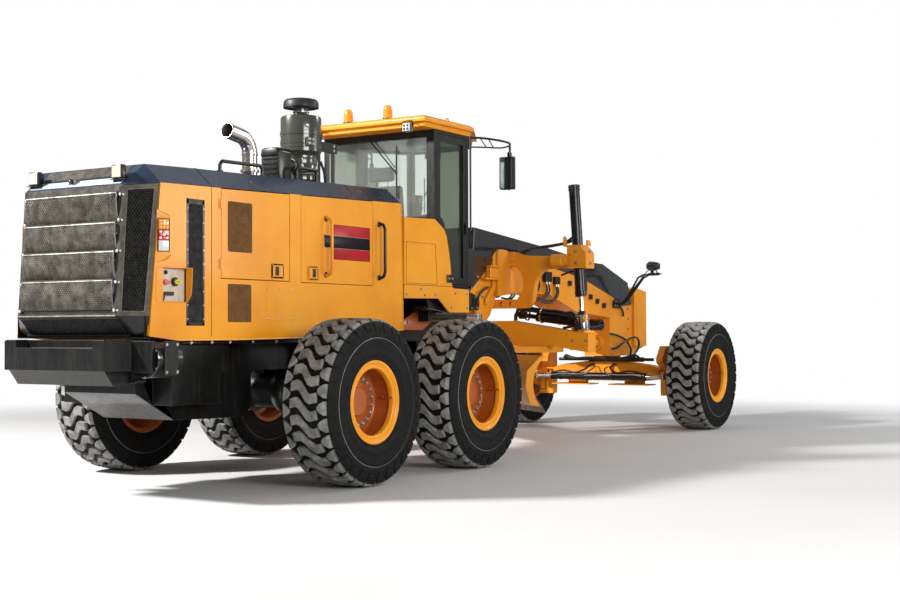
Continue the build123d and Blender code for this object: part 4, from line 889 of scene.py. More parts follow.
def make_grille():
    p = Piece("grille_frame", "rear_machine", M["frame_dark"], M["wire"], M["white"], M["wire_brown"], M["dark"], M["black"], M["zinc"], M["mesh_dark"], M["wire_light"], M["frame_olive"])
    # posts and bars of the rear face
    for s in (-1, 1):
        a, b = grille_point(1.501, 0.577 * s), grille_point(2.548, 0.577 * s)
        c, d = grille_point(2.548, 0.538 * s), grille_point(1.501, 0.538 * s)
        plate(p, (a, b, c, d), 0.030, 0, (-1, 0, 0))
        # rolled edge on the corner and outer skin of the chamfer
        q = (grille_point(1.501, 0.577 * s), grille_point(1.501, 0.772 * s, True), grille_point(2.573, 0.772 * s, True), grille_point(2.548, 0.577 * s))
        frame_plate(p, q, 0.034, 0.016, 9, (-1, s, 0))
        r = inset(q, 0.033)
        frame_plate(p, r, 0.006, 0.022, 1, (-1, s, 0))
        screen(p, [v + Vector((0.008, 0, 0)) for v in inset(q, 0.036)], 0.0235, 0.0040, 7, (-1, s, 0), slant=0.55)
        # near-black sheet behind the screen: painted shade of the inside
        plate(p, [v + Vector((0.030, -0.012 * s, 0)) for v in inset(q, 0.020)], 0.004, 4, (-1, s, 0))
        # small round fasteners beside each division
        for z in (2.475, 2.268, 2.020, 1.770, 1.545):
            o = grille_point(z, 0.553 * s)
            p.cyl(o, o + Vector((-0.006, 0, 0)), 0.014, 14, 6)
            p.button(o + Vector((-0.006, 0, 0)), (-1, 0, 0), 0.0125, 2)
            p.button(grille_point(z, 0.577 * s) + Vector((0.004, 0.004 * s, 0)), (-0.4, s, 0), 0.009, 2)
    for z0, z1, t in ((1.478, 1.522, 0.035), (2.498, 2.556, 0.035)):
        plate(p, (grille_point(z0, -0.577), grille_point(z0, 0.577), grille_point(z1, 0.577), grille_point(z1, -0.577)), t, 0, (-1, 0, 0))
    p.tube([grille_point(1.500, -0.575) + Vector((-0.004, 0, 0)), grille_point(1.500, 0.575) + Vector((-0.004, 0, 0))], 0.009, 8, 9)
    # four louvre screens, each leaning out at its top
    rows = ((1.549, 1.782), (1.800, 2.014), (2.034, 2.246), (2.262, 2.486))
    for z0, z1 in rows:
        lo, hi = grille_point(z0, 0).x + 0.014, grille_point(z1, 0).x - 0.022
        q = [Vector((lo, 0.532, z0)), Vector((lo, -0.532, z0)), Vector((hi, -0.532, z1)), Vector((hi, 0.532, z1))]
        screen(p, inset(q, 0.006), 0.0255, 0.0052, 8, (-1, 0, 0), bow=0.012, slant=0.8)
        # rim: bright rolled top, thin sides, and a near-black lower lip that paints the shadow under each row
        p.tube([q[3], q[2]], 0.0075, 8, 8)
        p.tube([q[3] + Vector((0.010, 0, 0.010)), q[2] + Vector((0.010, 0, 0.010))], 0.006, 6, 0)
        for e in (0.530, -0.530, 0.470, -0.470):
            w = 0.0065 if abs(e) > 0.5 else 0.004
            p.tube([Vector((lo + (hi - lo) * t - 0.012 * 4 * t * (1 - t) - 0.001, e, z0 + (z1 - z0) * t)) for t in (0, 0.25, 0.5, 0.75, 1)], w, 6, 1, steps=2)
        p.tube([q[0], q[1]], 0.006, 6, 4)
        # near-black return below the screen, back to the frame: painted shadow beneath each row
        plate(p, (q[0] + Vector((0, 0, -0.006)), q[1] + Vector((0, 0, -0.006)), Vector((lo - 0.004, -0.532, z0 - 0.030)), Vector((lo - 0.004, 0.532, z0 - 0.030))), 0.012, 4, (-1, 0, 0))
    # sloped lower apron with its own screens
    a0, a1 = 1.478, 1.348
    x0, x1 = grille_point(a0, 0).x + 0.02, -1.935
    frame_plate(p, ((x1, 0.560, a1), (x1, -0.560, a1), (x0, -0.560, a0), (x0, 0.560, a0)), 0.016, 0.010, 5, (-1, 0, -1))
    # the apron's screen takes the near-black wire and a near-black sheet lies behind it: painted shade of the
    # downward-facing apron
    screen(p, ((x1, 0.545, a1 + 0.012), (x1, -0.545, a1 + 0.012), (x0, -0.545, a0 - 0.006), (x0, 0.545, a0 - 0.006)), 0.026, 0.0044, 7, (-1, 0, -1), slant=0.8)
    plate(p, ((x1 + 0.03, 0.56, a1), (x1 + 0.03, -0.56, a1), (x0 + 0.03, -0.56, a0), (x0 + 0.03, 0.56, a0)), 0.004, 4, (-1, 0, -1))
    for s in (-1, 1):
        plate(p, ((x1, 0.556 * s, a1), (x0, 0.556 * s, a0), grille_point(1.501, 0.577 * s), grille_point(1.501, 0.772 * s, True), (-1.880, 0.765 * s, 1.345), (-1.90, 0.60 * s, 1.345)), 0.006, 5, (-0.5, s, -0.6))
        p.tube([(x1, 0.556 * s, a1), (x0, 0.560 * s, a0)], 0.007, 8, 5)
    p.box(-1.952, -1.930, -0.60, 0.60, 1.335, 1.352, 5, bevel=0.003)
    # black belly sheet and inner skirts behind the apron
    p.box(-1.930, -1.180, -0.745, 0.745, 1.318, 1.330, 5)
    for s in (-1, 1):
        p.box(-1.925, -1.560, 0.748 * s, 0.742 * s, 1.330, 1.520, 5)
    p.done(slot="dark_mesh", replaces=("rear_grille",), angle=30)

    # cooling fan and its guard, seen through the screens
    f = Piece("cooling_fan", "rear_machine", M["fan"], M["wire"], M["dark"], M["core"], M["white"])
    f.box(-1.735, -1.700, -0.60, 0.60, 1.36, 2.50, 3)
    for k in range(26):
        z = 1.40 + k * 0.042
        f.box(-1.742, -1.734, -0.58, 0.58, z, z + 0.010, 1)
    for cy, cz, r in ((0.27, 2.22, 0.25), (-0.27, 2.22, 0.25), (0.27, 1.72, 0.25), (-0.27, 1.72, 0.25)):
        c = Vector((-1.80, cy, cz))
        f.lathe([(0.02, r + 0.022), (-0.03, r + 0.018), (-0.03, r), (0.02, r)], c, (1, 0, 0), 40, 2)
        f.lathe([(-0.045, 0.0), (-0.045, 0.050), (-0.030, 0.070), (0.02, 0.074)], c, (1, 0, 0), 24, 4)
        for b in range(7):
            t = b * 2 * math.pi / 7 + cy
            for r0, r1 in ((0.07, r - 0.012),):
                pts = []
                for rr, wide in ((r0, 0.30), (r1, 0.42)):
                    for sg in (-1, 1):
                        aa = t + sg * wide / 2 + (0.10 if rr > 0.1 else 0)
                        pts.append(c + Vector((sg * 0.018, math.cos(aa) * rr, math.sin(aa) * rr)))
                f.add((pts[0], pts[1], pts[3], pts[2]), [(0, 1, 2, 3)], 0)
        for rr in (0.09, 0.145, 0.20, 0.248):
            ring = [c + Vector((-0.055, math.cos(a) * rr, math.sin(a) * rr)) for a in (2 * math.pi * k / 28 for k in range(29))]
            f.tube(ring, 0.0022, 5, 1, smooth_path=False, caps=False)
        for a in (0.5, 2.6, 4.7):
            f.tube([c + Vector((-0.055, math.cos(a) * 0.08, math.sin(a) * 0.08)), c + Vector((-0.04, math.cos(a) * (r + 0.02), math.sin(a) * (r + 0.02)))], 0.004, 6, 1)
    # charge hoses and brackets crossing behind the screens
    f.tube([(-1.79, 0.50, 1.45), (-1.84, 0.30, 1.60), (-1.85, 0.0, 1.66), (-1.84, -0.28, 1.60), (-1.79, -0.50, 1.48)], 0.022, 10, 2)
    f.tube([(-1.80, 0.50, 2.28), (-1.86, 0.25, 2.16), (-1.86, -0.2, 2.14), (-1.80, -0.50, 2.24)], 0.010, 8, 1)
    for s in (-1, 1):
        f.box(-1.86, -1.72, 0.535 * s - 0.012, 0.535 * s + 0.012, 1.40, 2.50, 2)
    f.done(angle=35)


make_grille()


# ------------------------------------------------------------------ lamps, isolator pocket, bumper

def lamps():
    p = Piece("lamps_and_beacons", "rear_machine", M["orange"], M["plastic"], M["white"], M["lens"], M["amber"], M["red"], M["black"], M["zinc"], M["grey"], M["mirror"], M["white_lens"], M["cream"])
    for s in (-1, 1):
        # white box lamp on the rear slope, with bracket
        y0, y1 = sorted((0.430 * s, 0.550 * s))
        p.box(-1.985, -1.935, y0, y1, 2.608, 2.722, 6, bevel=0.008, seg=3)
        p.box(-1.989, -1.984, y0 + 0.010, y1 - 0.010, 2.618, 2.712, 11, bevel=0.002)
        p.box(-1.936, -1.912, y0 + 0.008, y1 - 0.008, 2.616, 2.714, 6, bevel=0.006)
        for k in range(5):
            p.box(-1.914, -1.908, y0 + 0.014, y1 - 0.014, 2.630 + 0.016 * k, 2.634 + 0.016 * k, 6)
        p.box(-1.992, -1.915, y0 - 0.012, y1 + 0.012, 2.598, 2.604, 6, bevel=0.002)
        for y in (y0 + 0.030, y1 - 0.030):
            p.box(-1.970, -1.950, y - 0.008, y + 0.008, 2.576, 2.612, 6, bevel=0.002)
            p.bolt((-1.960, y, 2.604), (0, 0, 1), 0.006, 7)
        p.tube([(-1.915, (y0 + y1) / 2, 2.640), (-1.890, (y0 + y1) / 2, 2.650), (-1.885, (y0 + y1) / 2 + 0.02, 2.655)], 0.006, 8, 6)
        # wedge housing at the side, with its three-colour lamp
        y = s * 0.780
        o = s * 0.843
        base = [Vector((-1.826, y, 1.925)), Vector((-1.690, y, 1.960)), Vector((-1.690, y, 2.325)), Vector((-1.826, y, 2.360))]
        top = [Vector((-1.738, o, 1.992)), Vector((-1.726, o, 1.996)), Vector((-1.726, o, 2.290)), Vector((-1.738, o, 2.294))]
        p.add(base + top, [(4, 5, 6, 7), (0, 1, 5, 4), (1, 2, 6, 5), (2, 3, 7, 6), (3, 0, 4, 7)], 0)
        a, b = Vector((-1.826, y, 0)), Vector((-1.738, o, 0))
        e = (b - a).normalized()
        n = Vector((-e.y * s, e.x * s, 0))
        n = n if n.x < 0 else -n
        R = Matrix((e, n, (0, 0, 1))).transposed()

        def lamp_box(u0, u1, z0, z1, d0, d1, mat, bevel=0.003):
            c = a + e * ((u0 + u1) / 2) + n * ((d0 + d1) / 2) + Vector((0, 0, (z0 + z1) / 2))
            p.rounded(c, Vector(((u1 - u0) / 2, (d1 - d0) / 2, (z1 - z0) / 2)), bevel, R, mat, 2)
        lamp_box(0.006, 0.104, 2.018, 2.286, -0.004, 0.016, 1, 0.006)
        lamp_box(0.012, 0.094, 2.196, 2.280, 0.012, 0.024, 4)
        lamp_box(0.012, 0.094, 2.111, 2.193, 0.012, 0.024, 5)
        lamp_box(0.012, 0.094, 2.024, 2.108, 0.012, 0.024, 10)
        for k in range(3):
            for j in range(3):
                lamp_box(0.018 + 0.026 * k, 0.038 + 0.026 * k, 2.118 + 0.025 * j, 2.136 + 0.025 * j, 0.022, 0.0255, 5 if (k + j) % 2 else 10, 0.002)
                lamp_box(0.018 + 0.026 * k, 0.038 + 0.026 * k, 2.203 + 0.025 * j, 2.221 + 0.025 * j, 0.022, 0.0255, 4, 0.002)
        for z in (2.026, 2.278):
            p.button(a + e * 0.053 + n * 0.016 + Vector((0, 0, z)), n, 0.004, 7)
        # isolator pocket with its scoop
        pocket(s)
        # roof work lamps at the rear edge of the roof
        yc = 0.600 * s
        p.box(2.0220, 2.0780, yc - 0.050, yc + 0.050, 3.473, 3.565, 8, bevel=0.008, seg=2)
        p.box(2.0120, 2.0240, yc - 0.044, yc + 0.044, 3.479, 3.559, 10, bevel=0.004, seg=2)
        for k in range(2):
            for j in range(2):
                p.cyl((2.0140, yc - 0.021 + 0.042 * k, 3.500 + 0.038 * j), (2.0105, yc - 0.021 + 0.042 * k, 3.500 + 0.038 * j), 0.016, 18, 9)
        p.tube([(2.0600, yc - 0.060, 3.520), (2.0500, yc - 0.060, 3.580), (2.0720, yc, 3.593), (2.0500, yc + 0.060, 3.580), (2.0600, yc + 0.060, 3.520)], 0.006, 8, 6)
    # two beacons: foot, skirt, ribbed dome, cap
    for x, y in ((2.300, 0.360), (2.300, -0.170)):
        c = Vector((x, y, 3.652))
        p.lathe([(0.0, 0.0), (0.0, 0.064), (0.010, 0.064), (0.016, 0.058), (0.034, 0.056), (0.036, 0.0)], c, (0, 0, 1), 32, 1)
        prof = [(0.034, 0.0), (0.034, 0.053)]
        for k in range(8):
            z = 0.040 + k * 0.013
            prof += [(z, 0.0535 - 0.0008 * k), (z + 0.0065, 0.0515 - 0.0008 * k)]
        prof += [(0.150, 0.045), (0.164, 0.038), (0.174, 0.022), (0.178, 0.0)]
        p.lathe(prof, c, (0, 0, 1), 32, 4)
        for k in range(3):
            t = 2 * math.pi * k / 3
            p.bolt(c + Vector((math.cos(t) * 0.058, math.sin(t) * 0.058, 0.010)), (0, 0, 1), 0.004, 7)
        p.tube([c + Vector((0.05, 0, 0.008)), c + Vector((0.10, 0.01, 0.004)), c + Vector((0.16, 0.03, 0.003))], 0.004, 6, 6)
    p.done(slot="lamp_plastic", replaces=("rear_lamps",), angle=30)


def pocket(s):
    name = "right" if s < 0 else "left"
    p = Piece("isolator_pocket_" + name, "rear_machine", M["orange"], M["cream"], M["plastic"], M["red"], M["yellow"], M["zinc"], M["orange_shade"], M["hose"])

    def Y(d):
        return s * (0.780 + d)

    def slab(x0, x1, d0, d1, z0, z1, mat, bevel=0.0015):
        p.box(x0, x1, min(Y(d0), Y(d1)), max(Y(d0), Y(d1)), z0, z1, mat, bevel=bevel)
    x0, x1, z0, z1 = -1.833, -1.487, 1.612, 1.895
    slab(x0 + 0.075, x1 + 0.060, -0.0205, -0.0185, z0 + 0.006, z1 - 0.006, 1)
    # scoop: proud forward wall with a tapering roof and sill
    wall = [(Y(-0.018), z0), (Y(0.012), z0), (Y(0.060), z0 + 0.060), (Y(0.072), z1 - 0.010), (Y(0.068), z1), (Y(-0.018), z1)]
    p.prism(wall, "x", x1 - 0.002, x1 + 0.004, 0)
    for z, t in ((z1 - 0.004, 0.004), (z0, 0.004)):
        tip = 0.068 if z > 1.7 else 0.012
        p.prism([(x0, Y(0.0)), (x1, Y(tip)), (x1, Y(-0.018)), (x0, Y(-0.018))], "z", z, z + t, 0)
    # flat flange at the rear of the opening
    p.box(x0, x0 + 0.078, min(Y(0.0), Y(0.0035)), max(Y(0.0), Y(0.0035)), z0, z1, 0, bevel=0.0015)
    cx = x0 + 0.078
    # isolator switches and sockets
    p.cyl((cx + 0.045, Y(-0.019), z1 - 0.040), (cx + 0.045, Y(-0.004), z1 - 0.040), 0.017, 20, 2, chamfer=0.002)
    p.cyl((cx + 0.045, Y(-0.004), z1 - 0.040), (cx + 0.045, Y(0.002), z1 - 0.040), 0.009, 16, 2)
    p.cyl((cx + 0.040, Y(-0.019), z1 - 0.120), (cx + 0.040, Y(0.002), z1 - 0.120), 0.024, 20, 3, chamfer=0.003)
    p.box(cx + 0.004, cx + 0.078, min(Y(0.000), Y(0.014)), max(Y(0.000), Y(0.014)), z1 - 0.131, z1 - 0.109, 3, bevel=0.004)
    p.cyl((cx + 0.145, Y(-0.019), z1 - 0.115), (cx + 0.145, Y(0.006), z1 - 0.115), 0.036, 24, 2, chamfer=0.003)
    p.cyl((cx + 0.145, Y(0.004), z1 - 0.115), (cx + 0.145, Y(0.030), z1 - 0.115), 0.021, 20, 4, chamfer=0.004)
    p.box(cx + 0.115, cx + 0.190, min(Y(0.012), Y(0.030)), max(Y(0.012), Y(0.030)), z1 - 0.124, z1 - 0.106, 4, bevel=0.005)
    p.box(cx + 0.025, cx + 0.130, min(Y(-0.018), Y(0.002)), max(Y(-0.018), Y(0.002)), z0 + 0.055, z0 + 0.085, 2, bevel=0.004)
    p.tube([(cx + 0.030, Y(-0.005), z0 + 0.070), (cx + 0.012, Y(0.006), z0 + 0.060), (cx + 0.008, Y(0.006), z0 + 0.030), (cx + 0.004, Y(-0.010), z0 + 0.006)], 0.007, 8, 7)
    for x, z in ((cx + 0.20, z1 - 0.03), (cx + 0.20, z0 + 0.03), (cx + 0.018, z1 - 0.075), (cx + 0.16, z0 + 0.045)):
        p.button((x, Y(-0.0185), z), (0, s, 0), 0.007, 5)
    p.done(angle=30)


lamps()


def bumper_details():
    p = Piece("bumper_fittings", "rear_machine", M["black"], M["dark"], M["zinc"], M["black_gloss"], M["plastic"], M["lens"])
    for s in (-1, 1):
        for z in (1.11, 1.25):
            for y in (0.50, 0.56):
                pass
        # folded stiffening lips of the end boxes
        p.tube([(-1.962, 0.860 * s, 1.052), (-1.962, 0.860 * s, 1.298)], 0.006, 8, 0)
        p.box(-2.02, -1.96, 0.60 * s - 0.004, 0.60 * s + 0.004, 1.07, 1.29, 0, bevel=0.002)
    # weld beads along the bumper's seams
    for a, b in (((-2.184, -0.570, 1.305), (-1.905, -0.645, 1.305)), ((-2.184, 0.570, 1.305), (-1.905, 0.645, 1.305))):
        p.tube([a, b], 0.005, 6, 0)
    # face of the drum: rolled rim, two round openings, bolts
    c = Vector((-1.905, -0.745, 1.150))
    p.lathe([(0.010, 0.150), (-0.006, 0.150), (-0.012, 0.146), (-0.012, 0.136), (-0.004, 0.132), (-0.004, 0.0)], c, (1, 0, 0), 48, 3)
    for dy, dz in ((-0.055, 0.030), (0.055, 0.030)):
        p.cyl(c + Vector((-0.0045, dy, dz)), c + Vector((-0.0052, dy, dz)), 0.021, 20, 5)
        p.lathe([(-0.004, 0.026), (-0.008, 0.026), (-0.008, 0.020), (-0.004, 0.020)], c + Vector((0, dy, dz)), (1, 0, 0), 24, 0)
    for k in range(6):
        t = k * math.pi / 3 + 0.5
        p.bolt(c + Vector((-0.012, math.cos(t) * 0.141, math.sin(t) * 0.141)), (-1, 0, 0), 0.006, 2)
    # side of the drum's cradle
    p.box(-1.86, -1.70, -0.905, -0.893, 1.02, 1.30, 0, bevel=0.003)
    for x in (-1.84, -1.72):
        for z in (1.05, 1.27):
            p.bolt((x, -0.905, z), (0, -1, 0), 0.010, 2)
    # towing eye under the notch
    p.tube([(-2.085, 0.06, 1.10), (-2.150, 0.06, 1.09), (-2.178, 0.0, 1.09), (-2.150, -0.06, 1.09), (-2.085, -0.06, 1.10)], 0.016, 12, 0)
    p.done(angle=30)


bumper_details()


# ------------------------------------------------------------------ engine cover: side panels, doors, top

SKIN = 0.780


def punched_window(p, x0, x1, z0, z1, s, y=SKIN, pitch=0.0115):
    """Brown punched window set in the panel: rounded plate, wire pattern, thin rolled edge."""
    r = 0.014
    pts = []
    for cx, cz, a0 in ((x1 - r, z1 - r, 0), (x0 + r, z1 - r, 90), (x0 + r, z0 + r, 180), (x1 - r, z0 + r, 270)):
        pts += [(cx + r * math.cos(math.radians(a0 + 30 * k)), cz + r * math.sin(math.radians(a0 + 30 * k))) for k in range(4)]
    p.prism(pts, "y", s * (y + 0.0010), s * (y - 0.003), 2)
    q = ((x0 + 0.006, s * (y + 0.0012), z0 + 0.006), (x1 - 0.006, s * (y + 0.0012), z0 + 0.006), (x1 - 0.006, s * (y + 0.0012), z1 - 0.006), (x0 + 0.006, s * (y + 0.0012), z1 - 0.006))
    screen(p, q, pitch, 0.0021, 1, (0, s, 0), slant=0.7)
    loop = [Vector((a, s * (y + 0.0012), b)) for a, b in pts]
    p.tube(loop + [loop[0]], 0.0022, 6, 1, smooth_path=False, caps=False)


def latch(p, x0, x1, z0, z1, s, y=SKIN, black=0, steel=1, flip=1):
    """Paddle latch: square bezel, dished pocket, folding handle, screws, key barrel."""
    yy = s * y
    o = s * 0.012
    w = 0.016
    for a0, a1, b0, b1 in ((x0, x1, z1 - w, z1), (x0, x1, z0, z0 + w), (x0, x0 + w, z0 + w - 0.001, z1 - w + 0.001), (x1 - w, x1, z0 + w - 0.001, z1 - w + 0.001)):
        p.box(a0, a1, min(yy, yy + o), max(yy, yy + o), b0, b1, black, bevel=0.003, seg=2)
    p.box(x0 + w, x1 - w, min(yy - s * 0.001, yy + s * 0.004), max(yy - s * 0.001, yy + s * 0.004), z0 + w, z1 - w, black)
    xm = (x0 + x1) / 2 - flip * 0.012
    p.box(xm - 0.030, xm + 0.030, min(yy, yy + s * 0.0125), max(yy, yy + s * 0.0125), z0 + 0.020, z1 - 0.020, black, bevel=0.005, seg=2)
    for k in range(3):
        x = xm - 0.016 + 0.016 * k
        p.box(x - 0.003, x + 0.003, min(yy, yy + s * 0.0145), max(yy, yy + s * 0.0145), z0 + 0.028, z1 - 0.028, black, bevel=0.002)
    p.cyl((x1 - w - 0.014 if flip > 0 else x0 + w + 0.014, yy, (z0 + z1) / 2 + 0.005), (x1 - w - 0.014 if flip > 0 else x0 + w + 0.014, yy + s * 0.010, (z0 + z1) / 2 + 0.005), 0.009, 14, steel)
    for x in (x0 + 0.009, x1 - 0.009):
        for z in (z0 + 0.009, z1 - 0.009):
            p.button((x, yy + o, z), (0, s, 0), 0.0055, steel)


def hinge(p, x, z, s, mat, pin, y=SKIN):
    """Lift-off hinge: a leaf and a pin barrel with its screws."""
    p.box(x - 0.022, x + 0.022, min(s * y, s * (y + 0.004)), max(s * y, s * (y + 0.004)), z - 0.040, z + 0.040, mat, bevel=0.0015)
    p.cyl((x, s * (y + 0.007), z - 0.042), (x, s * (y + 0.007), z + 0.042), 0.0075, 12, mat)
    for dz in (-0.026, 0.026):
        for dx in (-0.014, 0.014):
            p.button((x + dx, s * (y + 0.004), z + dz), (0, s, 0), 0.005, pin)


def side_fittings(s):
    name = "right" if s < 0 else "left"
    p = Piece("side_fittings_" + name, "rear_machine", M["orange"], M["wire_brown"], M["brown_deep"], M["black"], M["zinc"], M["mesh_dark"], M["frame_dark"], M["dark"], M["orange_shade"])

    def yy(d):
        return s * (SKIN + d)
    # black louvred strip with its grey frame and studs
    x0, x1, z0, z1 = -1.483, -1.265, 1.422, 2.475
    p.box(x0, x1, min(yy(-0.014), yy(-0.010)), max(yy(-0.014), yy(-0.010)), z0, z1, 7)
    for a0, a1, b0, b1 in ((x0, x1, z1 - 0.045, z1), (x0, x0 + 0.026, z0, z1), (x1 - 0.026, x1, z0, z1), (x0, x1, z0, z0 + 0.030)):
        p.box(a0, a1, min(yy(-0.012), yy(0.0015)), max(yy(-0.012), yy(0.0015)), b0, b1, 6 if b0 > 2.4 else 3, bevel=0.0015)
    q = ((x0 + 0.026, yy(-0.006), z0 + 0.03), (x1 - 0.026, yy(-0.006), z0 + 0.03), (x1 - 0.026, yy(-0.006), z1 - 0.045), (x0 + 0.026, yy(-0.006), z1 - 0.045))
    screen(p, q, 0.013, 0.0025, 5, (0, s, 0), slant=0.6)
    k = 0
    z = z0 + 0.055
    while z < z1 - 0.06:
        if True:
            for x in (x0 + 0.013, x1 - 0.013):
                if k % 5 == 0:
                    p.button((x, yy(0.0015), z), (0, s, 0), 0.0075, 4)
                else:
                    p.box(x - 0.006, x + 0.006, min(yy(0.0015), yy(0.0025)), max(yy(0.0015), yy(0.0025)), z - 0.004, z + 0.004, 5)
        z += 0.023
        k += 1
    # seams of the panels
    p.box(-1.1835, -1.1775, min(yy(-0.004), yy(0.0008)), max(yy(-0.004), yy(0.0008)), 1.335, 2.592, 7)
    # lower brown window and bolted cover plate
    punched_window(p, -0.973, -0.673, 1.456, 1.780, s)
    p.box(-0.470, -0.100, min(yy(0), yy(0.0025)), max(yy(0), yy(0.0025)), 1.462, 1.770, 0, bevel=0.0012)
    for x in (-0.447, -0.285, -0.123):
        for z in (1.484, 1.748):
            p.cyl((x, yy(0.002), z), (x, yy(0.004), z), 0.0105, 14, 4)
            p.button((x, yy(0.004), z), (0, s, 0), 0.0085, 4)
    # rolled edge along the foot of the panels and its screws
    p.tube([(-1.900, yy(-0.004), 1.340), (-1.562, yy(-0.004), 1.304), (-0.822, yy(-0.004), 1.304), (0.300, yy(-0.004), 1.318), (1.700, yy(-0.004), 1.384)], 0.0065, 8, 0, smooth_path=False)
    for x in (-1.40, -1.15, -0.92, -0.62, -0.30, 0.02, 0.34, 0.66, 0.98, 1.30):
        zz = 1.283 if x < 0.2 else 1.283 + (x - 0.2) * 0.048
        p.bolt((x, s * 0.756, zz), (0, s, 0), 0.011, 4)
    # hinges of the four doors stand on the fixed panel's edge
    for x in (-1.076, 1.178):
        for z in (1.95, 2.46):
            hinge(p, x, z, s, 0, 4)
    # front edge strip of the engine cover
    p.tube([(1.690, yy(0.001), 1.400), (1.655, yy(0.001), 2.668)], 0.006, 8, 0, smooth_path=False)
    for z in (1.48, 1.78, 2.08, 2.38, 2.60):
        p.button((1.600 + (2.6 - z) * 0.03, yy(0), z), (0, s, 0), 0.008, 4)
    # blank badge plate on the front door rides with the door, see below
    p.done(angle=30)

    d1 = Piece("door_fittings_rear_" + name, "engine_door_%s_rear" % name, M["plastic"], M["wire_brown"], M["brown_deep"], M["zinc"], M["orange"])
    punched_window(d1, -0.974, -0.662, 2.060, 2.490, s)
    latch(d1, -0.400, -0.235, 1.850, 1.978, s, black=0, steel=3)
    loop = [(-1.050, yy(0.0005), 1.834), (-0.148, yy(0.0005), 1.834), (-0.148, yy(0.0005), 2.588)]
    d1.tube(loop, 0.0018, 6, 4, smooth_path=False)
    d1.done(angle=30)

    d2 = Piece("door_fittings_front_" + name, "engine_door_%s_front" % name, M["plastic"], M["badge_red"], M["badge_dark"], M["zinc"], M["black"], M["orange"])
    latch(d2, 0.120, 0.271, 1.850, 1.977, s, black=0, steel=3, flip=-1)
    # blank badge: plain red field with one dark bar across it
    red = [(0.520, 2.385), (1.105, 2.385), (1.105, 2.058), (0.520, 2.058)]
    d2.prism(red, "y", yy(0.0), yy(0.0022), 1, bevel=0.0008)
    dark = [(0.371, 2.163), (1.105, 2.163), (1.105, 2.280), (0.371, 2.280)]
    d2.prism(dark, "y", yy(0.0015), yy(0.0036), 2, bevel=0.0008)
    line = [Vector((a, yy(0.0034), b)) for a, b in dark]
    d2.tube(line + [line[0]], 0.0020, 6, 3, smooth_path=False, caps=False)
    line = [Vector((a, yy(0.0018), b)) for a, b in red]
    d2.tube(line + [line[0]], 0.0026, 6, 2, smooth_path=False, caps=False)
    d2.box(0.08, 0.086, min(yy(0), yy(0.001)), max(yy(0), yy(0.001)), 1.99, 2.60, 5)
    # feet and screws of the grab rail
    for z in (1.905, 2.435):
        d2.cyl((0.400, yy(0.0), z), (0.400, yy(0.006), z), 0.028, 20, 4, chamfer=0.002)
        for dx in (-0.019, 0.019):
            d2.button((0.400 + dx, yy(0.006), z), (0, s, 0), 0.005, 3)
    d2.done(angle=30)


mirror_y(side_fittings)


def hood_details():
    p = Piece("hood_fittings", "rear_machine", M["navy"], M["dark"], M["wire"], M["frame_dark"], M["black"], M["zinc"], M["steel"], M["pale_blue"], M["plastic"], M["lens"])
    # seams across the cover
    for x, zs, zt, side, top in ((-1.180, 2.593, 2.762, 0.780, 0.600), (0.92, 2.651, 2.8137, 0.780, 0.600)):
        pts = [(x, -side - 0.0008, zs), (x, -top, zt + 0.001), (x, top, zt + 0.001), (x, side + 0.0008, zs)]
        p.tube(pts, 0.0028, 6, 1, smooth_path=False)
    # screened opening on the rear slope, with frame, and beneath it a pale blue strip that paints the reflection along
    # the slope's rear edge
    def slope(x, y):
        t = (x + 1.990) / 0.208
        return Vector((x, y, 2.562 + 0.178 * t))
    q = [slope(-1.905, 0.44), slope(-1.905, -0.44), slope(-1.795, -0.50), slope(-1.795, 0.50)]
    n = Vector((-0.178, 0, 0.208)).normalized()
    q = [v + n * 0.003 for v in q]
    frame_plate(p, q, 0.014, 0.006, 3, n)
    # near-black sheet under the screen: painted shade of the opening
    plate(p, inset(q, 0.008), 0.003, 1, n)
    screen(p, inset(q, 0.010), 0.014, 0.0026, 2, n, lift=0.001, slant=0.8)
    # pale blue strip: painted reflection on the navy cover's rear edge
    r = [v + n * 0.0022 for v in (slope(-1.984, 0.535), slope(-1.984, -0.535), slope(-1.922, -0.535), slope(-1.922, 0.535))]
    plate(p, r, 0.002, 7, n)
    # camera eye on its bracket
    c = slope(-1.955, 0.045)
    p.box(c.x - 0.012, c.x + 0.030, c.y - 0.040, c.y + 0.040, c.z - 0.004, c.z + 0.006, 5, bevel=0.002)
    for dy in (-0.030, 0.030):
        p.box(c.x - 0.016, c.x + 0.016, c.y + dy - 0.002, c.y + dy + 0.002, c.z, c.z + 0.052, 5, bevel=0.001)
    p.box(c.x - 0.022, c.x + 0.024, c.y - 0.026, c.y + 0.026, c.z + 0.008, c.z + 0.050, 8, bevel=0.008, seg=2)
    p.cyl((c.x - 0.034, c.y, c.z + 0.030), (c.x - 0.018, c.y, c.z + 0.030), 0.018, 20, 8, chamfer=0.003)
    p.lathe([(0.0, 0.0), (0.004, 0.007), (0.007, 0.012)], (c.x - 0.037, c.y, c.z + 0.030), (1, 0, 0), 16, 9)
    # rubber collars where the stack and the intake pass through
    for x, y, z, r in ((-0.190, -0.350, 2.790, 0.090), (0.567, -0.350, 2.812, 0.110)):
        p.lathe([(-0.004, r + 0.022), (0.010, r + 0.022), (0.016, r + 0.014), (0.016, r - 0.012), (-0.004, r - 0.012)], (x, y, z), (0, 0, 1), 40, 8)
    # screws along the cover's side flanges
    for i in range(13):
        x = -1.70 + i * 0.27
        for s in (-1, 1):
            t = (x + 1.18) / 2.84
            z = 2.593 + 0.083 * t
            nrm = Vector((0, s * 0.169, 0.180)).normalized()
            p.button(Vector((x, s * 0.762, z + 0.017)) + nrm * 0.0005, nrm, 0.0055, 4)
    p.done(angle=32)


hood_details()


# ------------------------------------------------------------------ exhaust stack, air cleaner, top rails

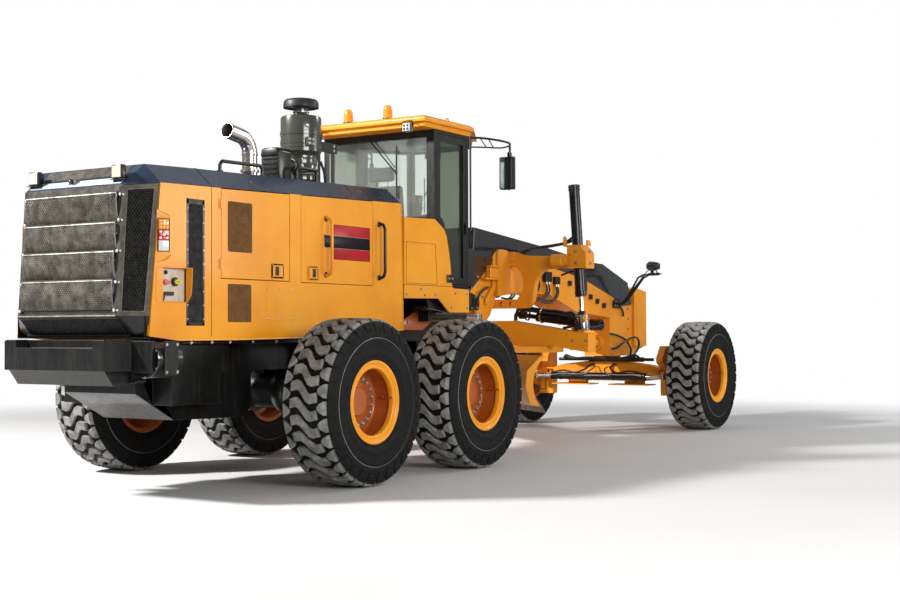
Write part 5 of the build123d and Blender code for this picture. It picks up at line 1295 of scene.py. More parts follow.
def stack():
    p = Piece("exhaust_pipe", "rear_machine", M["steel"], M["steel_inside"], M["zinc"], M["black"])
    c = Vector((-0.190, -0.350, 0))
    # bore and wall as one swept tube whose end is cut on the slant
    path = [Vector((-0.190, -0.350, z)) for z in (2.74, 2.80, 2.90, 3.00)]
    R, cx, cz = 0.155, -0.345, 3.010
    for k in range(1, 15):
        a = math.radians(84 * k / 14)
        path.append(Vector((cx + R * math.cos(a), -0.350, cz + R * math.sin(a))))
    end_dir = (path[-1] - path[-2]).normalized()
    tip = path[-1]
    seg = 40
    rings = []
    for i, q in enumerate(path):
        a = path[max(0, i - 1)]
        b = path[min(len(path) - 1, i + 1)]
        t = (b - a).normalized()
        s = Vector((0, 1, 0))
        u = s.cross(t).normalized()
        rings.append([q + (s * math.cos(2 * math.pi * k / seg) + u * math.sin(2 * math.pi * k / seg)) * 0.070 for k in range(seg)])
    # straight mouth: each line runs on to the slanting cut
    t = end_dir
    s = Vector((0, 1, 0))
    u = s.cross(t).normalized()
    lip = []
    for k in range(seg):
        a = 2 * math.pi * k / seg
        o = tip + (s * math.cos(a) + u * math.sin(a)) * 0.070
        reach = (o.x + 0.508 + (o.z - 3.13) * -0.215) / -t.x
        lip.append(o + t * max(0.02, reach))
    rings.append(lip)
    mid = sum(lip, Vector()) / seg
    inner = [q + (mid + (tip - mid) * 0.0 - q).normalized() * 0.0045 for q in lip]
    deep = [q - t * 0.20 for q in inner]
    back = tip - t * 0.10
    vs = [v for r in rings + [inner, deep] for v in r] + [back]
    fs, n = [], len(rings)
    for i in range(n + 1):
        for k in range(seg):
            fs.append((i * seg + k, i * seg + (k + 1) % seg, (i + 1) * seg + (k + 1) % seg, (i + 1) * seg + k))
    start = len(p.bm.faces)
    p.add(vs, fs, 0, smooth=True)
    p.bm.faces.ensure_lookup_table()
    k0 = n * seg
    for f in list(p.bm.faces)[start + k0:]:
        f.material_index = 1
    p.add([v for v in deep] + [sum(deep, Vector()) / seg], [(k, (k + 1) % seg, seg) for k in range(seg)], 1)
    # rolled lip, seam and clamp
    p.tube(lip + [lip[0]], 0.0035, 6, 0, smooth_path=False, caps=False)
    for z in (2.852, 3.006):
        p.lathe([(-0.010, 0.0702), (-0.008, 0.0745), (0.008, 0.0745), (0.010, 0.0702)], c + Vector((0, 0, z)), (0, 0, 1), 40, 0)
    p.lathe([(-0.012, 0.071), (-0.010, 0.085), (0.012, 0.085), (0.014, 0.071)], c + Vector((0, 0, 2.852)), (0, 0, 1), 40, 0)
    p.cyl(c + Vector((0.060, -0.075, 2.852)), c + Vector((0.060, -0.012 - 0.090, 2.852)), 0.007, 12, 2)
    p.bolt(c + Vector((0.060, -0.100, 2.852)), (0, -1, 0), 0.010, 2)
    # bracket stub and bolt on the bend
    p.bolt(Vector((-0.262, -0.420, 3.080)), (0, -1, 0), 0.011, 2)
    p.cyl(Vector((-0.262, -0.395, 3.080)), Vector((-0.262, -0.420, 3.080)), 0.018, 14, 0)
    p.box(-0.275, -0.245, -0.425, -0.350, 2.775, 2.845, 3, bevel=0.003)
    p.done(slot="exhaust_steel", replaces=("exhaust_stack",), angle=35)

    q = Piece("intake_cleaner", "rear_machine", M["olive"], M["black"], M["zinc"], M["plastic"], M["hose"], M["dark"])
    c = Vector((0.567, -0.350, 0))

    def L(prof, mat=0, seg=56):
        q.lathe([(z, r) for z, r in prof], c, (0, 0, 1), seg, mat)
    # lower can, shoulder, main can, neck
    L([(2.745, 0.072), (2.806, 0.072), (2.820, 0.078), (2.828, 0.132), (2.836, 0.140), (2.925, 0.140), (2.930, 0.1435), (2.942, 0.1435), (2.947, 0.140),
       (3.060, 0.140), (3.078, 0.150), (3.092, 0.178), (3.100, 0.192), (3.108, 0.198), (3.140, 0.198), (3.144, 0.2010), (3.152, 0.2010), (3.156, 0.198),
       (3.262, 0.198), (3.266, 0.2035), (3.300, 0.2035), (3.304, 0.198), (3.430, 0.198), (3.444, 0.194), (3.452, 0.184), (3.462, 0.120), (3.470, 0.086), (3.478, 0.074),
       (3.490, 0.072), (3.492, 0.0765), (3.506, 0.0765), (3.508, 0.072), (3.530, 0.072)], 0)
    # mushroom cap, hollow under its rim
    L([(3.528, 0.072), (3.545, 0.078), (3.556, 0.110), (3.558, 0.150), (3.552, 0.166), (3.545, 0.1695), (3.540, 0.1722), (3.552, 0.1722), (3.590, 0.1700), (3.606, 0.1630),
       (3.618, 0.1500), (3.624, 0.1250), (3.628, 0.060), (3.629, 0.0)], 3)
    L([(3.494, 0.0770), (3.494, 0.0805), (3.504, 0.0805), (3.504, 0.0770)], 2)
    # strap with its bolted ears, straps and toggle catches
    for z in (3.195, 3.060):
        q.lathe([(z - 0.016, 0.1985), (z - 0.016, 0.2015), (z + 0.016, 0.2015), (z + 0.016, 0.1985)] if z > 3.1 else [(z - 0.012, 0.1405), (z - 0.012, 0.1435), (z + 0.012, 0.1435), (z + 0.012, 0.1405)], c, (0, 0, 1), 56, 0)
    q.box(c.x - 0.145, c.x - 0.060, c.y - 0.208, c.y - 0.165, 3.150, 3.232, 0, bevel=0.005)
    for dx in (-0.128, -0.080):
        for z in (3.170, 3.212):
            q.bolt((c.x + dx, c.y - 0.208, z), (0, -1, 0), 0.010, 2)
    q.cyl((c.x - 0.120, c.y - 0.175, 3.345), (c.x - 0.120, c.y - 0.186, 3.345), 0.014, 14, 2)
    for a in (3.9, 5.3, 0.7, 2.3):
        d = Vector((math.cos(a), math.sin(a), 0))
        q.tube([c + d * 0.143 + Vector((0, 0, 3.040)), c + d * 0.156 + Vector((0, 0, 3.020)), c + d * 0.154 + Vector((0, 0, 2.985)), c + d * 0.143 + Vector((0, 0, 2.960))], 0.005, 6, 2)
        q.box(c.x + d.x * 0.146 - 0.012, c.x + d.x * 0.146 + 0.012, c.y + d.y * 0.146 - 0.010, c.y + d.y * 0.146 + 0.010, 2.945, 2.975, 2, bevel=0.002)
    # intake duct: box on the hood with a rounded top, and its elbow to the can
    duct = [(-0.460, 2.780), (-0.240, 2.780), (-0.240, 3.070), (-0.262, 3.105), (-0.438, 3.105), (-0.460, 3.070)]
    q.prism(duct, "x", 0.100, 0.290, 1, bevel=0.012, seg=3)
    q.prism([(-0.455, 3.03), (-0.440, 3.095), (-0.260, 3.095), (-0.245, 3.03)], "x", 0.085, 0.110, 1, bevel=0.006)
    for k in range(4):
        q.box(0.090, 0.100, -0.430, -0.270, 2.86 + 0.045 * k, 2.872 + 0.045 * k, 5)
    q.tube([(0.285, -0.350, 2.955), (0.330, -0.350, 2.962), (0.380, -0.350, 2.968), (0.432, -0.350, 2.970)], 0.058, 24, 4, steps=4)
    for x in (0.305, 0.415):
        q.lathe([(-0.006, 0.0585), (-0.006, 0.0615), (0.006, 0.0615), (0.006, 0.0585)], (x, -0.350, 2.962 if x < 0.35 else 2.970), (1, 0, 0), 28, 2)
    # stand: upright plate, arm to the can, post beside the cab
    q.box(0.790, 0.862, -0.362, -0.352, 2.812, 3.248, 1, bevel=0.003)
    q.box(0.745, 0.795, -0.375, -0.335, 3.140, 3.240, 1, bevel=0.004)
    q.box(0.862, 1.130, -0.362, -0.352, 3.150, 3.252, 1, bevel=0.003)
    for x in (0.830, 1.075):
        for z in (3.180, 3.225):
            q.bolt((x, -0.362, z), (0, -1, 0), 0.011, 2)
    q.box(1.034, 1.112, -0.350, -0.300, 2.814, 3.152, 0, bevel=0.008)
    q.box(0.980, 1.170, -0.390, -0.260, 2.812, 2.824, 1, bevel=0.003)
    q.tube([(0.700, -0.460, 2.905), (0.600, -0.515, 2.900), (0.480, -0.500, 2.890), (0.425, -0.430, 2.885)], 0.007, 8, 2)
    q.tube([(0.870, -0.355, 3.050), (0.930, -0.350, 2.960), (0.950, -0.345, 2.900), (0.985, -0.330, 2.826)], 0.014, 10, 4)
    q.done(slot="olive_paint", replaces=("air_cleaner",), angle=35)
    h = Piece("rail_feet", "rear_machine", M["black"], M["zinc"])
    for s in (-1, 1):
        for x, z in ((-0.820, 2.7725), (-0.250, 2.786), (0.250, 2.798), (0.550, 2.806)):
            h.cyl((x, 0.550 * s, z - 0.006), (x, 0.550 * s, z + 0.012), 0.030, 20, 0, chamfer=0.002)
        for z in (1.905, 2.435):
            h.cyl((1.265, 0.780 * s, z), (1.265, 0.787 * s, z), 0.028, 20, 0, chamfer=0.002)
            for dx in (-0.019, 0.019):
                h.button((1.265 + dx, 0.787 * s, z), (0, s, 0), 0.005, 1)
    h.done(angle=30)


stack()


# ------------------------------------------------------------------ operator's seat

def stuffed(name, centre, half, turn, channels, slack=0.022):
    """A cushion: a rounded block whose seams are held while air pressure crowns the panels between them."""
    bm = bmesh.new()
    bmesh.ops.create_cube(bm, size=2.0)
    for v in bm.verts:
        v.co = Vector((v.co.x * half[0], v.co.y * half[1], v.co.z * half[2]))
    bmesh.ops.bevel(bm, geom=bm.edges[:], offset=min(half) * 0.72, segments=4, affect="EDGES", profile=0.5)
    me = bpy.data.meshes.new(name + "_block")
    bm.to_mesh(me)
    bm.free()
    o = bpy.data.objects.new(name + "_block", me)
    bpy.context.scene.collection.objects.link(o)
    r = o.modifiers.new("remesh", "REMESH")
    r.mode, r.voxel_size, r.use_smooth_shade = "VOXEL", 0.0085, True
    deps = bpy.context.evaluated_depsgraph_get()
    flat = bpy.data.meshes.new_from_object(o.evaluated_get(deps))
    bpy.data.objects.remove(o)
    o = bpy.data.objects.new(name, flat)
    bpy.context.scene.collection.objects.link(o)
    held = o.vertex_groups.new(name="seams")
    rest = [v.co.copy() for v in flat.vertices]
    for v in flat.vertices:
        c = v.co
        w = 0.0
        if c.z < -half[2] * 0.55:
            w = 1.0
        elif abs(c.z - half[2] * 0.25) < 0.005 and (abs(c.x) > half[0] * 0.9 or abs(c.y) > half[1] * 0.9):
            w = 1.0
        elif c.z > 0:
            for axis, at, lo, hi in channels:
                a, b = (c.x, c.y) if axis == "x" else (c.y, c.x)
                if abs(a - at) < 0.0052 and lo - 0.004 < b < hi + 0.004:
                    w = 1.0
        if w:
            held.add([v.index], w, "REPLACE")
    cl = o.modifiers.new("cloth", "CLOTH")
    st = cl.settings
    st.quality, st.mass = 4, 0.25
    st.tension_stiffness = st.compression_stiffness = st.shear_stiffness = 12
    st.use_pressure, st.uniform_pressure_force = True, 4.0
    st.vertex_group_mass = "seams"
    st.effector_weights.gravity = 0.0
    cl.collision_settings.use_collision = False
    scene = bpy.context.scene
    for k in range(1, 21):
        scene.frame_set(k)
    done = bpy.data.meshes.new_from_object(o.evaluated_get(bpy.context.evaluated_depsgraph_get()))
    scene.frame_set(1)
    bpy.data.objects.remove(o)
    spin = Matrix.Rotation(turn, 4, "Y")
    sunk = {}
    for v, was in zip(done.vertices, rest):
        d = v.co - was
        if d.length > slack:
            v.co = was + d * (slack / d.length)
    bm = bmesh.new()
    bm.from_mesh(done)
    bm.verts.ensure_lookup_table()
    # the held seams sink a little into the foam
    for v in bm.verts:
        c = rest[v.index]
        if c.z > 0 and any(abs((c.x if a == "x" else c.y) - at) < 0.0095 and lo < (c.y if a == "x" else c.x) < hi for a, at, lo, hi in channels):
            v.co.z -= 0.007
    bmesh.ops.smooth_vert(bm, verts=bm.verts[:], factor=0.4, use_axis_x=True, use_axis_y=True, use_axis_z=True)
    for v in bm.verts:
        v.co = spin @ v.co + Vector(centre) - Vector((MX, MY, 0))
    bm.to_mesh(done)
    bm.free()
    done.name = name
    done.materials.clear()
    done.materials.append(M["cloth"])
    for f in done.polygons:
        f.use_smooth = True
        f.material_index = 0
    o = bpy.data.objects.new(name, done)
    bpy.context.scene.collection.objects.link(o)
    s = o.modifiers.new("soften", "SUBSURF")
    s.levels = s.render_levels = 1
    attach(o, "rear_machine")
    return o


def seat():
    t = math.radians(-5)
    stuffed("seat_cushion", (2.775, 0, 2.255), (0.238, 0.240, 0.060), math.radians(-3), [("y", 0.135, -0.19, 0.19), ("y", -0.135, -0.19, 0.19), ("x", -0.02, -0.135, 0.135)])
    stuffed("seat_backrest", (2.518, 0, 2.640), (0.330, 0.226, 0.052), math.radians(90 - 6), [("y", 0.130, -0.21, 0.21), ("y", -0.130, -0.21, 0.21), ("x", 0.07, -0.13, 0.13), ("x", -0.08, -0.13, 0.13)])
    stuffed("seat_headrest", (2.452, 0.020, 3.095), (0.080, 0.160, 0.046), math.radians(90 - 6), [("y", 0.0, -0.03, 0.03)], slack=0.014)
    p = Piece("seat_frame", "rear_machine", M["plastic"], M["black"], M["zinc"], M["hose"])
    # suspension box with its bellows, pan, shells behind the pads
    p.box(2.560, 2.900, -0.200, 0.200, 1.900, 1.945, 1, bevel=0.006)
    for k in range(5):
        z = 1.952 + 0.030 * k
        p.box(2.590, 2.870, -0.175, 0.175, z, z + 0.020, 3, bevel=0.009, seg=2)
        p.box(2.600, 2.860, -0.165, 0.165, z + 0.014, z + 0.034, 3)
    p.box(2.540, 2.930, -0.215, 0.215, 2.105, 2.150, 1, bevel=0.008)
    p.box(2.545, 2.985, -0.225, 0.225, 2.150, 2.205, 0, bevel=0.018, seg=3)
    back = [(2.548, 2.190), (2.510, 2.190), (2.455, 2.330), (2.425, 2.800), (2.440, 2.850), (2.468, 2.850), (2.470, 2.800), (2.500, 2.330)]
    p.prism(back, "y", -0.215, 0.215, 0, bevel=0.012, seg=3)
    for y in (-0.06, 0.06):
        p.cyl((2.470, y, 2.84), (2.456, y, 3.06), 0.007, 12, 2)
    for s in (-1, 1):
        p.cyl((2.520, 0.225 * s, 2.235), (2.520, 0.247 * s, 2.235), 0.040, 24, 0, chamfer=0.005)
        p.box(2.620, 2.900, 0.205 * s, 0.228 * s, 2.110, 2.160, 1, bevel=0.005)
        p.box(2.535, 2.820, 0.226 * s, 0.246 * s, 2.430, 2.462, 0, bevel=0.008, seg=2)
        p.cyl((2.495, 0.226 * s, 2.445), (2.495, 0.246 * s, 2.445), 0.022, 18, 0, chamfer=0.003)
    # belt over the right side
    p.tube([(2.545, -0.238, 2.250), (2.590, -0.245, 2.330), (2.560, -0.235, 2.380)], 0.010, 8, 3)
    p.box(2.545, 2.585, -0.246, -0.226, 2.365, 2.405, 1, bevel=0.004)
    p.tube([(2.930, -0.10, 2.165), (2.985, -0.10, 2.160), (2.990, 0.0, 2.160), (2.985, 0.10, 2.160), (2.930, 0.10, 2.165)], 0.007, 8, 1)
    p.done(replaces=("operator_seat",), angle=32)


seat()


# ------------------------------------------------------------------ cab fittings

def cab_details():
    p = Piece("cab_fittings", "rear_machine", M["black"], M["plastic"], M["zinc"], M["hose"], M["orange"], M["dark"], M["amber"], M["grey"], M["orange_shade"], M["frame_olive"])
    # rear wiper: motor boss, twin arms, blade held in a sprung frame
    p.cyl((2.352, 0.178, 3.545), (2.372, 0.178, 3.545), 0.026, 20, 1, chamfer=0.004)
    p.tube([(2.350, 0.178, 3.560), (2.346, -0.020, 3.330), (2.348, -0.236, 3.100)], 0.0075, 8, 0)
    p.tube([(2.352, 0.140, 3.565), (2.350, -0.050, 3.360), (2.350, -0.230, 3.150)], 0.0050, 8, 0)
    p.tube([(2.356, -0.243, 3.385), (2.350, -0.244, 3.240), (2.347, -0.245, 3.100), (2.350, -0.246, 2.960), (2.356, -0.247, 2.818)], 0.0055, 8, 0)
    p.box(2.356, 2.368, -0.2505, -0.2395, 2.812, 3.390, 3, bevel=0.003)
    p.box(2.340, 2.358, -0.262, -0.228, 3.080, 3.125, 0, bevel=0.004)
    # rubber surround of the rear glass
    for x, hw, z0, z1 in ((2.371, 0.640, 2.600, 3.460),):
        loop = [(x, -hw, z0), (x, hw, z0), (x, hw, z1), (x, -hw, z1), (x, -hw, z0)]
        p.tube(loop, 0.011, 8, 3, smooth_path=False, caps=False)
    # inside: side consoles with levers, floor mat, trim panel under the rear glass
    for s in (-1, 1):
        p.box(2.560, 3.330, 0.455 * s, 0.640 * s, 1.880, 2.300, 1, bevel=0.020, seg=3)
        p.box(2.620, 3.120, 0.470 * s, 0.600 * s, 2.300, 2.345, 7, bevel=0.014, seg=3)
        for k in range(3):
            x = 2.960 + 0.060 * k
            p.tube([(x, 0.345 * s, 2.440), (x + 0.006, 0.345 * s, 2.500), (x + 0.002, 0.345 * s, 2.560)], 0.006, 8, 0)
            p.lathe([(-0.022, 0.0), (-0.018, 0.013), (0.0, 0.018), (0.018, 0.013), (0.024, 0.0)], (x + 0.002, 0.345 * s, 2.575), (0, 0, 1), 16, 1)
        # shaded stay under the cab
        p.prism([(2.276, 1.466), (2.750, 1.667), (3.042, 1.691), (3.068, 1.566), (2.714, 1.384), (2.292, 1.385)], "y", 0.335 * s, 0.347 * s, 8, bevel=0.004)
        for x, z in ((2.420, 1.470), (2.720, 1.590), (2.960, 1.620)):
            p.bolt((x, 0.347 * s, z), (0, s, 0), 0.014, 2)
        # rim of the dark vent strip
        for x0, x1, z0, z1 in ((-1.4825, -1.466, 1.424, 2.473), (-1.282, -1.2655, 1.424, 2.473), (-1.4825, -1.2655, 2.448, 2.473), (-1.4825, -1.2655, 1.424, 1.442)):
            p.box(x0, x1, 0.7655 * s, 0.7705 * s, z0, z1, 9)
        # hinge block and stay at the casing's foot
        p.box(2.520, 2.630, 0.781 * s, 0.800 * s, 1.893, 1.978, 0, bevel=0.006)
        for dx in (2.545, 2.605):
            p.bolt((dx, 0.800 * s, 1.936), (0, s, 0), 0.010, 2)
        # seams and screws of the casing, skirt joint
        line = [(1.750, 0.7815 * s, 1.868), (1.750, 0.7815 * s, 2.292), (2.300, 0.7815 * s, 2.292), (2.335, 0.7815 * s, 1.868), (1.750, 0.7815 * s, 1.868)]
        p.tube(line, 0.0020, 6, 5, smooth_path=False, caps=False)
        p.tube([(1.715, 0.7812 * s, 1.852), (2.636, 0.7812 * s, 1.852)], 0.0024, 6, 5)
        for x, z in ((2.025, 1.811), (2.094, 1.750), (2.618, 1.625), (1.760, 1.750), (2.300, 1.760), (2.940, 1.625), (2.940, 1.780), (2.700, 1.780)):
            p.bolt((x, 0.780 * s, z), (0, s, 0), 0.0115, 2)
        # roof: lifting eye, gutter bead and its screws
        p.tube([(2.640, 0.700 * s, 3.640), (2.645, 0.700 * s, 3.672), (2.670, 0.700 * s, 3.686), (2.695, 0.700 * s, 3.672), (2.700, 0.700 * s, 3.640)], 0.008, 10, 4)
        p.tube([(2.085, 0.803 * s, 3.583), (3.068, 0.803 * s, 3.583), (3.748, 0.423 * s, 3.583)], 0.006, 8, 4, smooth_path=False)
        for x in (2.160, 2.600, 3.020):
            p.button((x, 0.800 * s, 3.603), (0, s, 0), 0.008, 2)
    p.box(2.450, 3.500, -0.450, 0.450, 1.846, 1.856, 3, bevel=0.003)
    p.box(2.395, 2.415, -0.640, 0.640, 2.300, 2.560, 1, bevel=0.006)
    # closing sheet at the engine cover's front end
    p.prism([(-0.764, 1.850), (0.764, 1.850), (0.764, 2.655), (0.590, 2.812), (-0.590, 2.812), (-0.764, 2.655)], "x", 1.636, 1.646, 0)
    for y in (-0.60, -0.30, 0.0, 0.30, 0.60):
        for z in (2.560, 2.640):
            p.bolt((1.646, y, z), (1, 0, 0), 0.010, 2)
    # inner mirror and roof console
    p.box(3.350, 3.480, -0.180, 0.180, 3.470, 3.560, 1, bevel=0.015, seg=2)
    p.box(3.455, 3.470, -0.110, 0.110, 3.380, 3.450, 1, bevel=0.006)
    # wiper at the front glass, outside
    p.tube([(3.590, 0.0, 3.470), (3.600, 0.080, 3.200), (3.596, 0.200, 2.960)], 0.007, 8, 0)
    p.box(3.580, 3.592, 0.190, 0.202, 2.760, 3.180, 3, bevel=0.003)
    p.cyl((3.576, 0.0, 3.470), (3.598, 0.0, 3.470), 0.022, 18, 0, chamfer=0.003)
    p.done(angle=32)

    q = Piece("steering_column", "rear_machine", M["plastic"], M["hose"], M["black"], M["grey"])
    c = Vector((3.230, 0, 2.610))
    ax = Vector((-math.sin(math.radians(35)), 0, math.cos(math.radians(35))))
    u = Vector((math.cos(math.radians(35)), 0, math.sin(math.radians(35))))
    ring = [c + u * (0.190 * math.cos(2 * math.pi * k / 40)) + Vector((0, 0.190 * math.sin(2 * math.pi * k / 40), 0)) for k in range(41)]
    q.tube(ring, 0.0155, 12, 1, smooth_path=False, caps=False)
    for a in (0.5, 2.64, 4.71):
        d = u * math.cos(a) + Vector((0, math.sin(a), 0))
        q.tube([c + d * 0.035 - ax * 0.010, c + d * 0.110 - ax * 0.016, c + d * 0.185], 0.010, 8, 0)
    q.lathe([(-0.035, 0.030), (-0.020, 0.050), (0.008, 0.052), (0.016, 0.040), (0.018, 0.0)], c, ax, 28, 0)
    q.tube([c - ax * 0.03, c - ax * 0.12, (3.335, 0, 2.400)], 0.042, 20, 0)
    q.prism([(3.240, 1.860), (3.450, 1.860), (3.450, 2.250), (3.395, 2.440), (3.290, 2.440), (3.262, 2.250)], "y", -0.105, 0.105, 0, bevel=0.022, seg=3)
    q.box(3.275, 3.390, -0.120, 0.120, 2.430, 2.500, 3, bevel=0.020, seg=3)
    for y, z in ((-0.165, 1.930), (0.165, 1.930)):
        q.prism([(3.300, 1.870), (3.330, 1.870), (3.395, 2.020), (3.375, 2.030)], "y", y - 0.045, y + 0.045, 1, bevel=0.006)
    for s in (-1, 1):
        q.box(2.700, 3.020, 0.290 * s, 0.400 * s, 2.380, 2.440, 1, bevel=0.022, seg=3)
        q.prism([(2.740, 1.900), (2.800, 1.900), (2.860, 2.382), (2.760, 2.382)], "y", 0.300 * s, 0.380 * s, 0, bevel=0.010)
    q.done(replaces=("control_console",), angle=35)

    m = Piece("mirror_pair", "rear_machine", M["plastic"], M["black"], M["mirror"], M["zinc"])
    for s in (-1, 1):
        # braced arm: two long tubes, cross struts, plate on the post
        a0, a1 = Vector((3.085, 0.735 * s, 3.520)), Vector((3.570, 0.955 * s, 3.505))
        m.tube([a0, (3.200, 0.800 * s, 3.530), (3.420, 0.900 * s, 3.522), a1, (3.585, 0.962 * s, 3.470), (3.585, 0.962 * s, 3.380)], 0.0125, 12, 1)
        m.tube([(3.085, 0.735 * s, 3.420), (3.280, 0.820 * s, 3.432), (3.470, 0.915 * s, 3.440), (3.575, 0.958 * s, 3.470)], 0.009, 10, 1)
        m.tube([(3.200, 0.800 * s, 3.528), (3.290, 0.825 * s, 3.434)], 0.006, 8, 1)
        m.tube([(3.300, 0.848 * s, 3.526), (3.380, 0.868 * s, 3.436)], 0.006, 8, 1)
        m.box(3.060, 3.110, 0.722 * s, 0.746 * s, 3.395, 3.545, 1, bevel=0.005)
        m.box(3.560, 3.604, 0.940 * s, 0.980 * s, 3.345, 3.400, 1, bevel=0.006)
        # housing with a domed back, glass facing the rear
        pts = [(3.590, 0.865), (3.606, 0.885), (3.610, 0.950), (3.606, 1.015), (3.590, 1.035), (3.540, 1.042), (3.534, 1.042), (3.534, 0.858), (3.540, 0.858)]
        m.prism([(a, b * s) for a, b in pts], "z", 2.975, 3.345, 0, bevel=0.012, seg=3)
        m.box(3.5325, 3.5345, 0.868 * s, 1.032 * s, 2.990, 3.330, 2)
        m.tube([(3.534, 0.864 * s, 2.984), (3.534, 1.036 * s, 2.984), (3.534, 1.036 * s, 3.336), (3.534, 0.864 * s, 3.336), (3.534, 0.864 * s, 2.984)], 0.004, 6, 0, smooth_path=False, caps=False)
        # short stalk beneath the housing, and a bolt on the arm
        m.tube([(3.585, 0.950 * s, 2.980), (3.582, 0.950 * s, 2.965)], 0.007, 8, 1)
        m.bolt((3.575, 0.955 * s, 3.520), (0, 0, 1), 0.010, 3)
    m.done(replaces=("mirrors",), angle=32)


cab_details()


# ------------------------------------------------------------------ hitch, towers, saddle details

def front_details():
    p = Piece("front_fittings", "front_machine", M["orange_low"], M["black"], M["zinc"], M["hose"], M["chrome"], M["orange_shade"], M["dark"], M["grey"])
    for s in (-1, 1):
        # tower plate with its rounded head, ledge between it and the slanting cheek
        tower = [(4.520, 2.330), (4.545, 2.362), (4.600, 2.372), (4.740, 2.366), (4.800, 2.340), (4.822, 2.300), (4.822, 1.830), (4.520, 1.790)]
        p.prism(tower, "y", 0.212 * s, 0.262 * s, 0, bevel=0.008, seg=2)
        p.prism([(4.500, 2.340), (4.500, 1.870), (4.320, 1.690), (4.270, 1.690), (4.270, 1.750), (4.440, 1.930), (4.440, 2.270)], "y", 0.212 * s, 0.238 * s, 0, bevel=0.006)
        p.box(4.300, 4.520, 0.212 * s, 0.300 * s, 2.142, 2.164, 0, bevel=0.005)
        p.box(4.175, 4.520, 0.212 * s, 0.300 * s, 1.988, 2.012, 0, bevel=0.005)
        p.box(4.310, 4.500, 0.212 * s, 0.276 * s, 2.012, 2.142, 0, bevel=0.005)
        for x, z in ((4.380, 2.240), (4.110, 2.020), (4.240, 1.780)):
            p.bolt((x, 0.262 * s if x > 4.3 else 0.212 * s, z), (0, s, 0), 0.014, 2)
        # yoke: pin boss behind, cheeks with cut corner, keeper plates and tabs
        p.lathe([(-0.002, 0.0), (0.0, 0.062), (0.010, 0.074), (0.150, 0.074), (0.156, 0.068), (0.240, 0.068)], (4.700, 0.905 * s, 2.222), (0, s, 0), 32, 0)
        p.lathe([(-0.012, 0.0), (-0.012, 0.034), (-0.002, 0.038)], (4.700, 0.905 * s, 2.222), (0, s, 0), 24, 0)
        p.bolt((4.700, 0.893 * s, 2.222), (0, -s, 0), 0.012, 2)
        p.prism([(4.730, 2.385), (4.730, 2.490), (4.760, 2.510), (4.800, 2.470), (4.800, 2.385)], "y", 1.040 * s, 1.064 * s, 0, bevel=0.004)
        p.prism([(4.740, 2.385), (4.740, 2.450), (4.800, 2.450), (4.845, 2.385)], "y", 1.366 * s, 1.342 * s, 0, bevel=0.004)
        for z in (2.180, 2.320):
            p.bolt((4.733, 1.215 * s, z), (-1, 0, 0), 0.015, 2)
            p.bolt((4.850, 1.342 * s, z), (0, s, 0), 0.015, 2)
        # lift cylinder: gland rings, side port, pipe with clips
        top, low = Vector((4.850, 1.130 * s, 3.130)), Vector((4.850, 1.219 * s, 1.780))
        d = (low - top).normalized()
        for t0 in (0.010, 0.045):
            p.lathe([(0, 0.0655), (0.002, 0.071), (0.022, 0.071), (0.024, 0.0655)], top + d * t0, d, 32, 1)
        for q, r in ((low - d * 0.060, 0.073), (low - d * 0.018, 0.070)):
            p.lathe([(0, 0.0650), (0.002, r), (0.036 if r > 0.071 else 0.014, r), (0.038 if r > 0.071 else 0.016, 0.0650)], q, d, 32, 1)
        for z0, z1 in ((0.060, 0.300), (0.940, 1.300)):
            a, b = top + d * z0 + Vector((0.060, 0, 0)), top + d * z1 + Vector((0.060, 0, 0))
            a, b = a + Vector((0.034, 0, 0)), b + Vector((0.034, 0, 0))
            p.tube([a - Vector((0.040, 0, 0)), a, lerp(a, b, 0.5), b, b - Vector((0.040, 0, 0))], 0.011, 10, 1)
            p.box(a.x - 0.034, a.x + 0.014, a.y - 0.018, a.y + 0.018, lerp(a, b, 0.4).z - 0.012, lerp(a, b, 0.4).z + 0.012, 1, bevel=0.003)
        p.box(4.905, 4.965, low.y - 0.028, low.y + 0.028, 1.850, 1.990, 1, bevel=0.008)
        p.tube([(4.935, low.y, 1.990), (4.940, low.y - 0.02 * s, 2.060), (4.940, 1.060 * s, 2.090), (4.952, 0.900 * s, 2.050)], 0.012, 10, 3)
        # hoses off the cylinder's cap run in over the arm to the frame
        p.tube([(4.912, 1.160 * s, 2.470), (4.950, 1.090 * s, 2.475), (4.975, 0.950 * s, 2.440), (5.020, 0.700 * s, 2.410), (5.080, 0.440 * s, 2.400), (5.120, 0.280 * s, 2.370), (5.140, 0.222 * s, 2.315)], 0.015, 10, 3)
        p.tube([(4.908, 1.140 * s, 2.540), (4.965, 1.080 * s, 2.530), (5.010, 0.920 * s, 2.450), (5.060, 0.700 * s, 2.425), (5.140, 0.440 * s, 2.410), (5.200, 0.280 * s, 2.370), (5.220, 0.222 * s, 2.305)], 0.015, 10, 3)
        # arm: pivot pin caps and their bolts
        for x in (4.797,):
            p.lathe([(0, 0.0), (0.0, 0.050), (-0.012, 0.054), (-0.014, 0.046), (-0.014, 0.0)], (x, 0.290 * s, 2.290), (1, 0, 0), 28, 0)
            p.bolt((x - 0.013, 0.290 * s, 2.290), (-1, 0, 0), 0.016, 2)
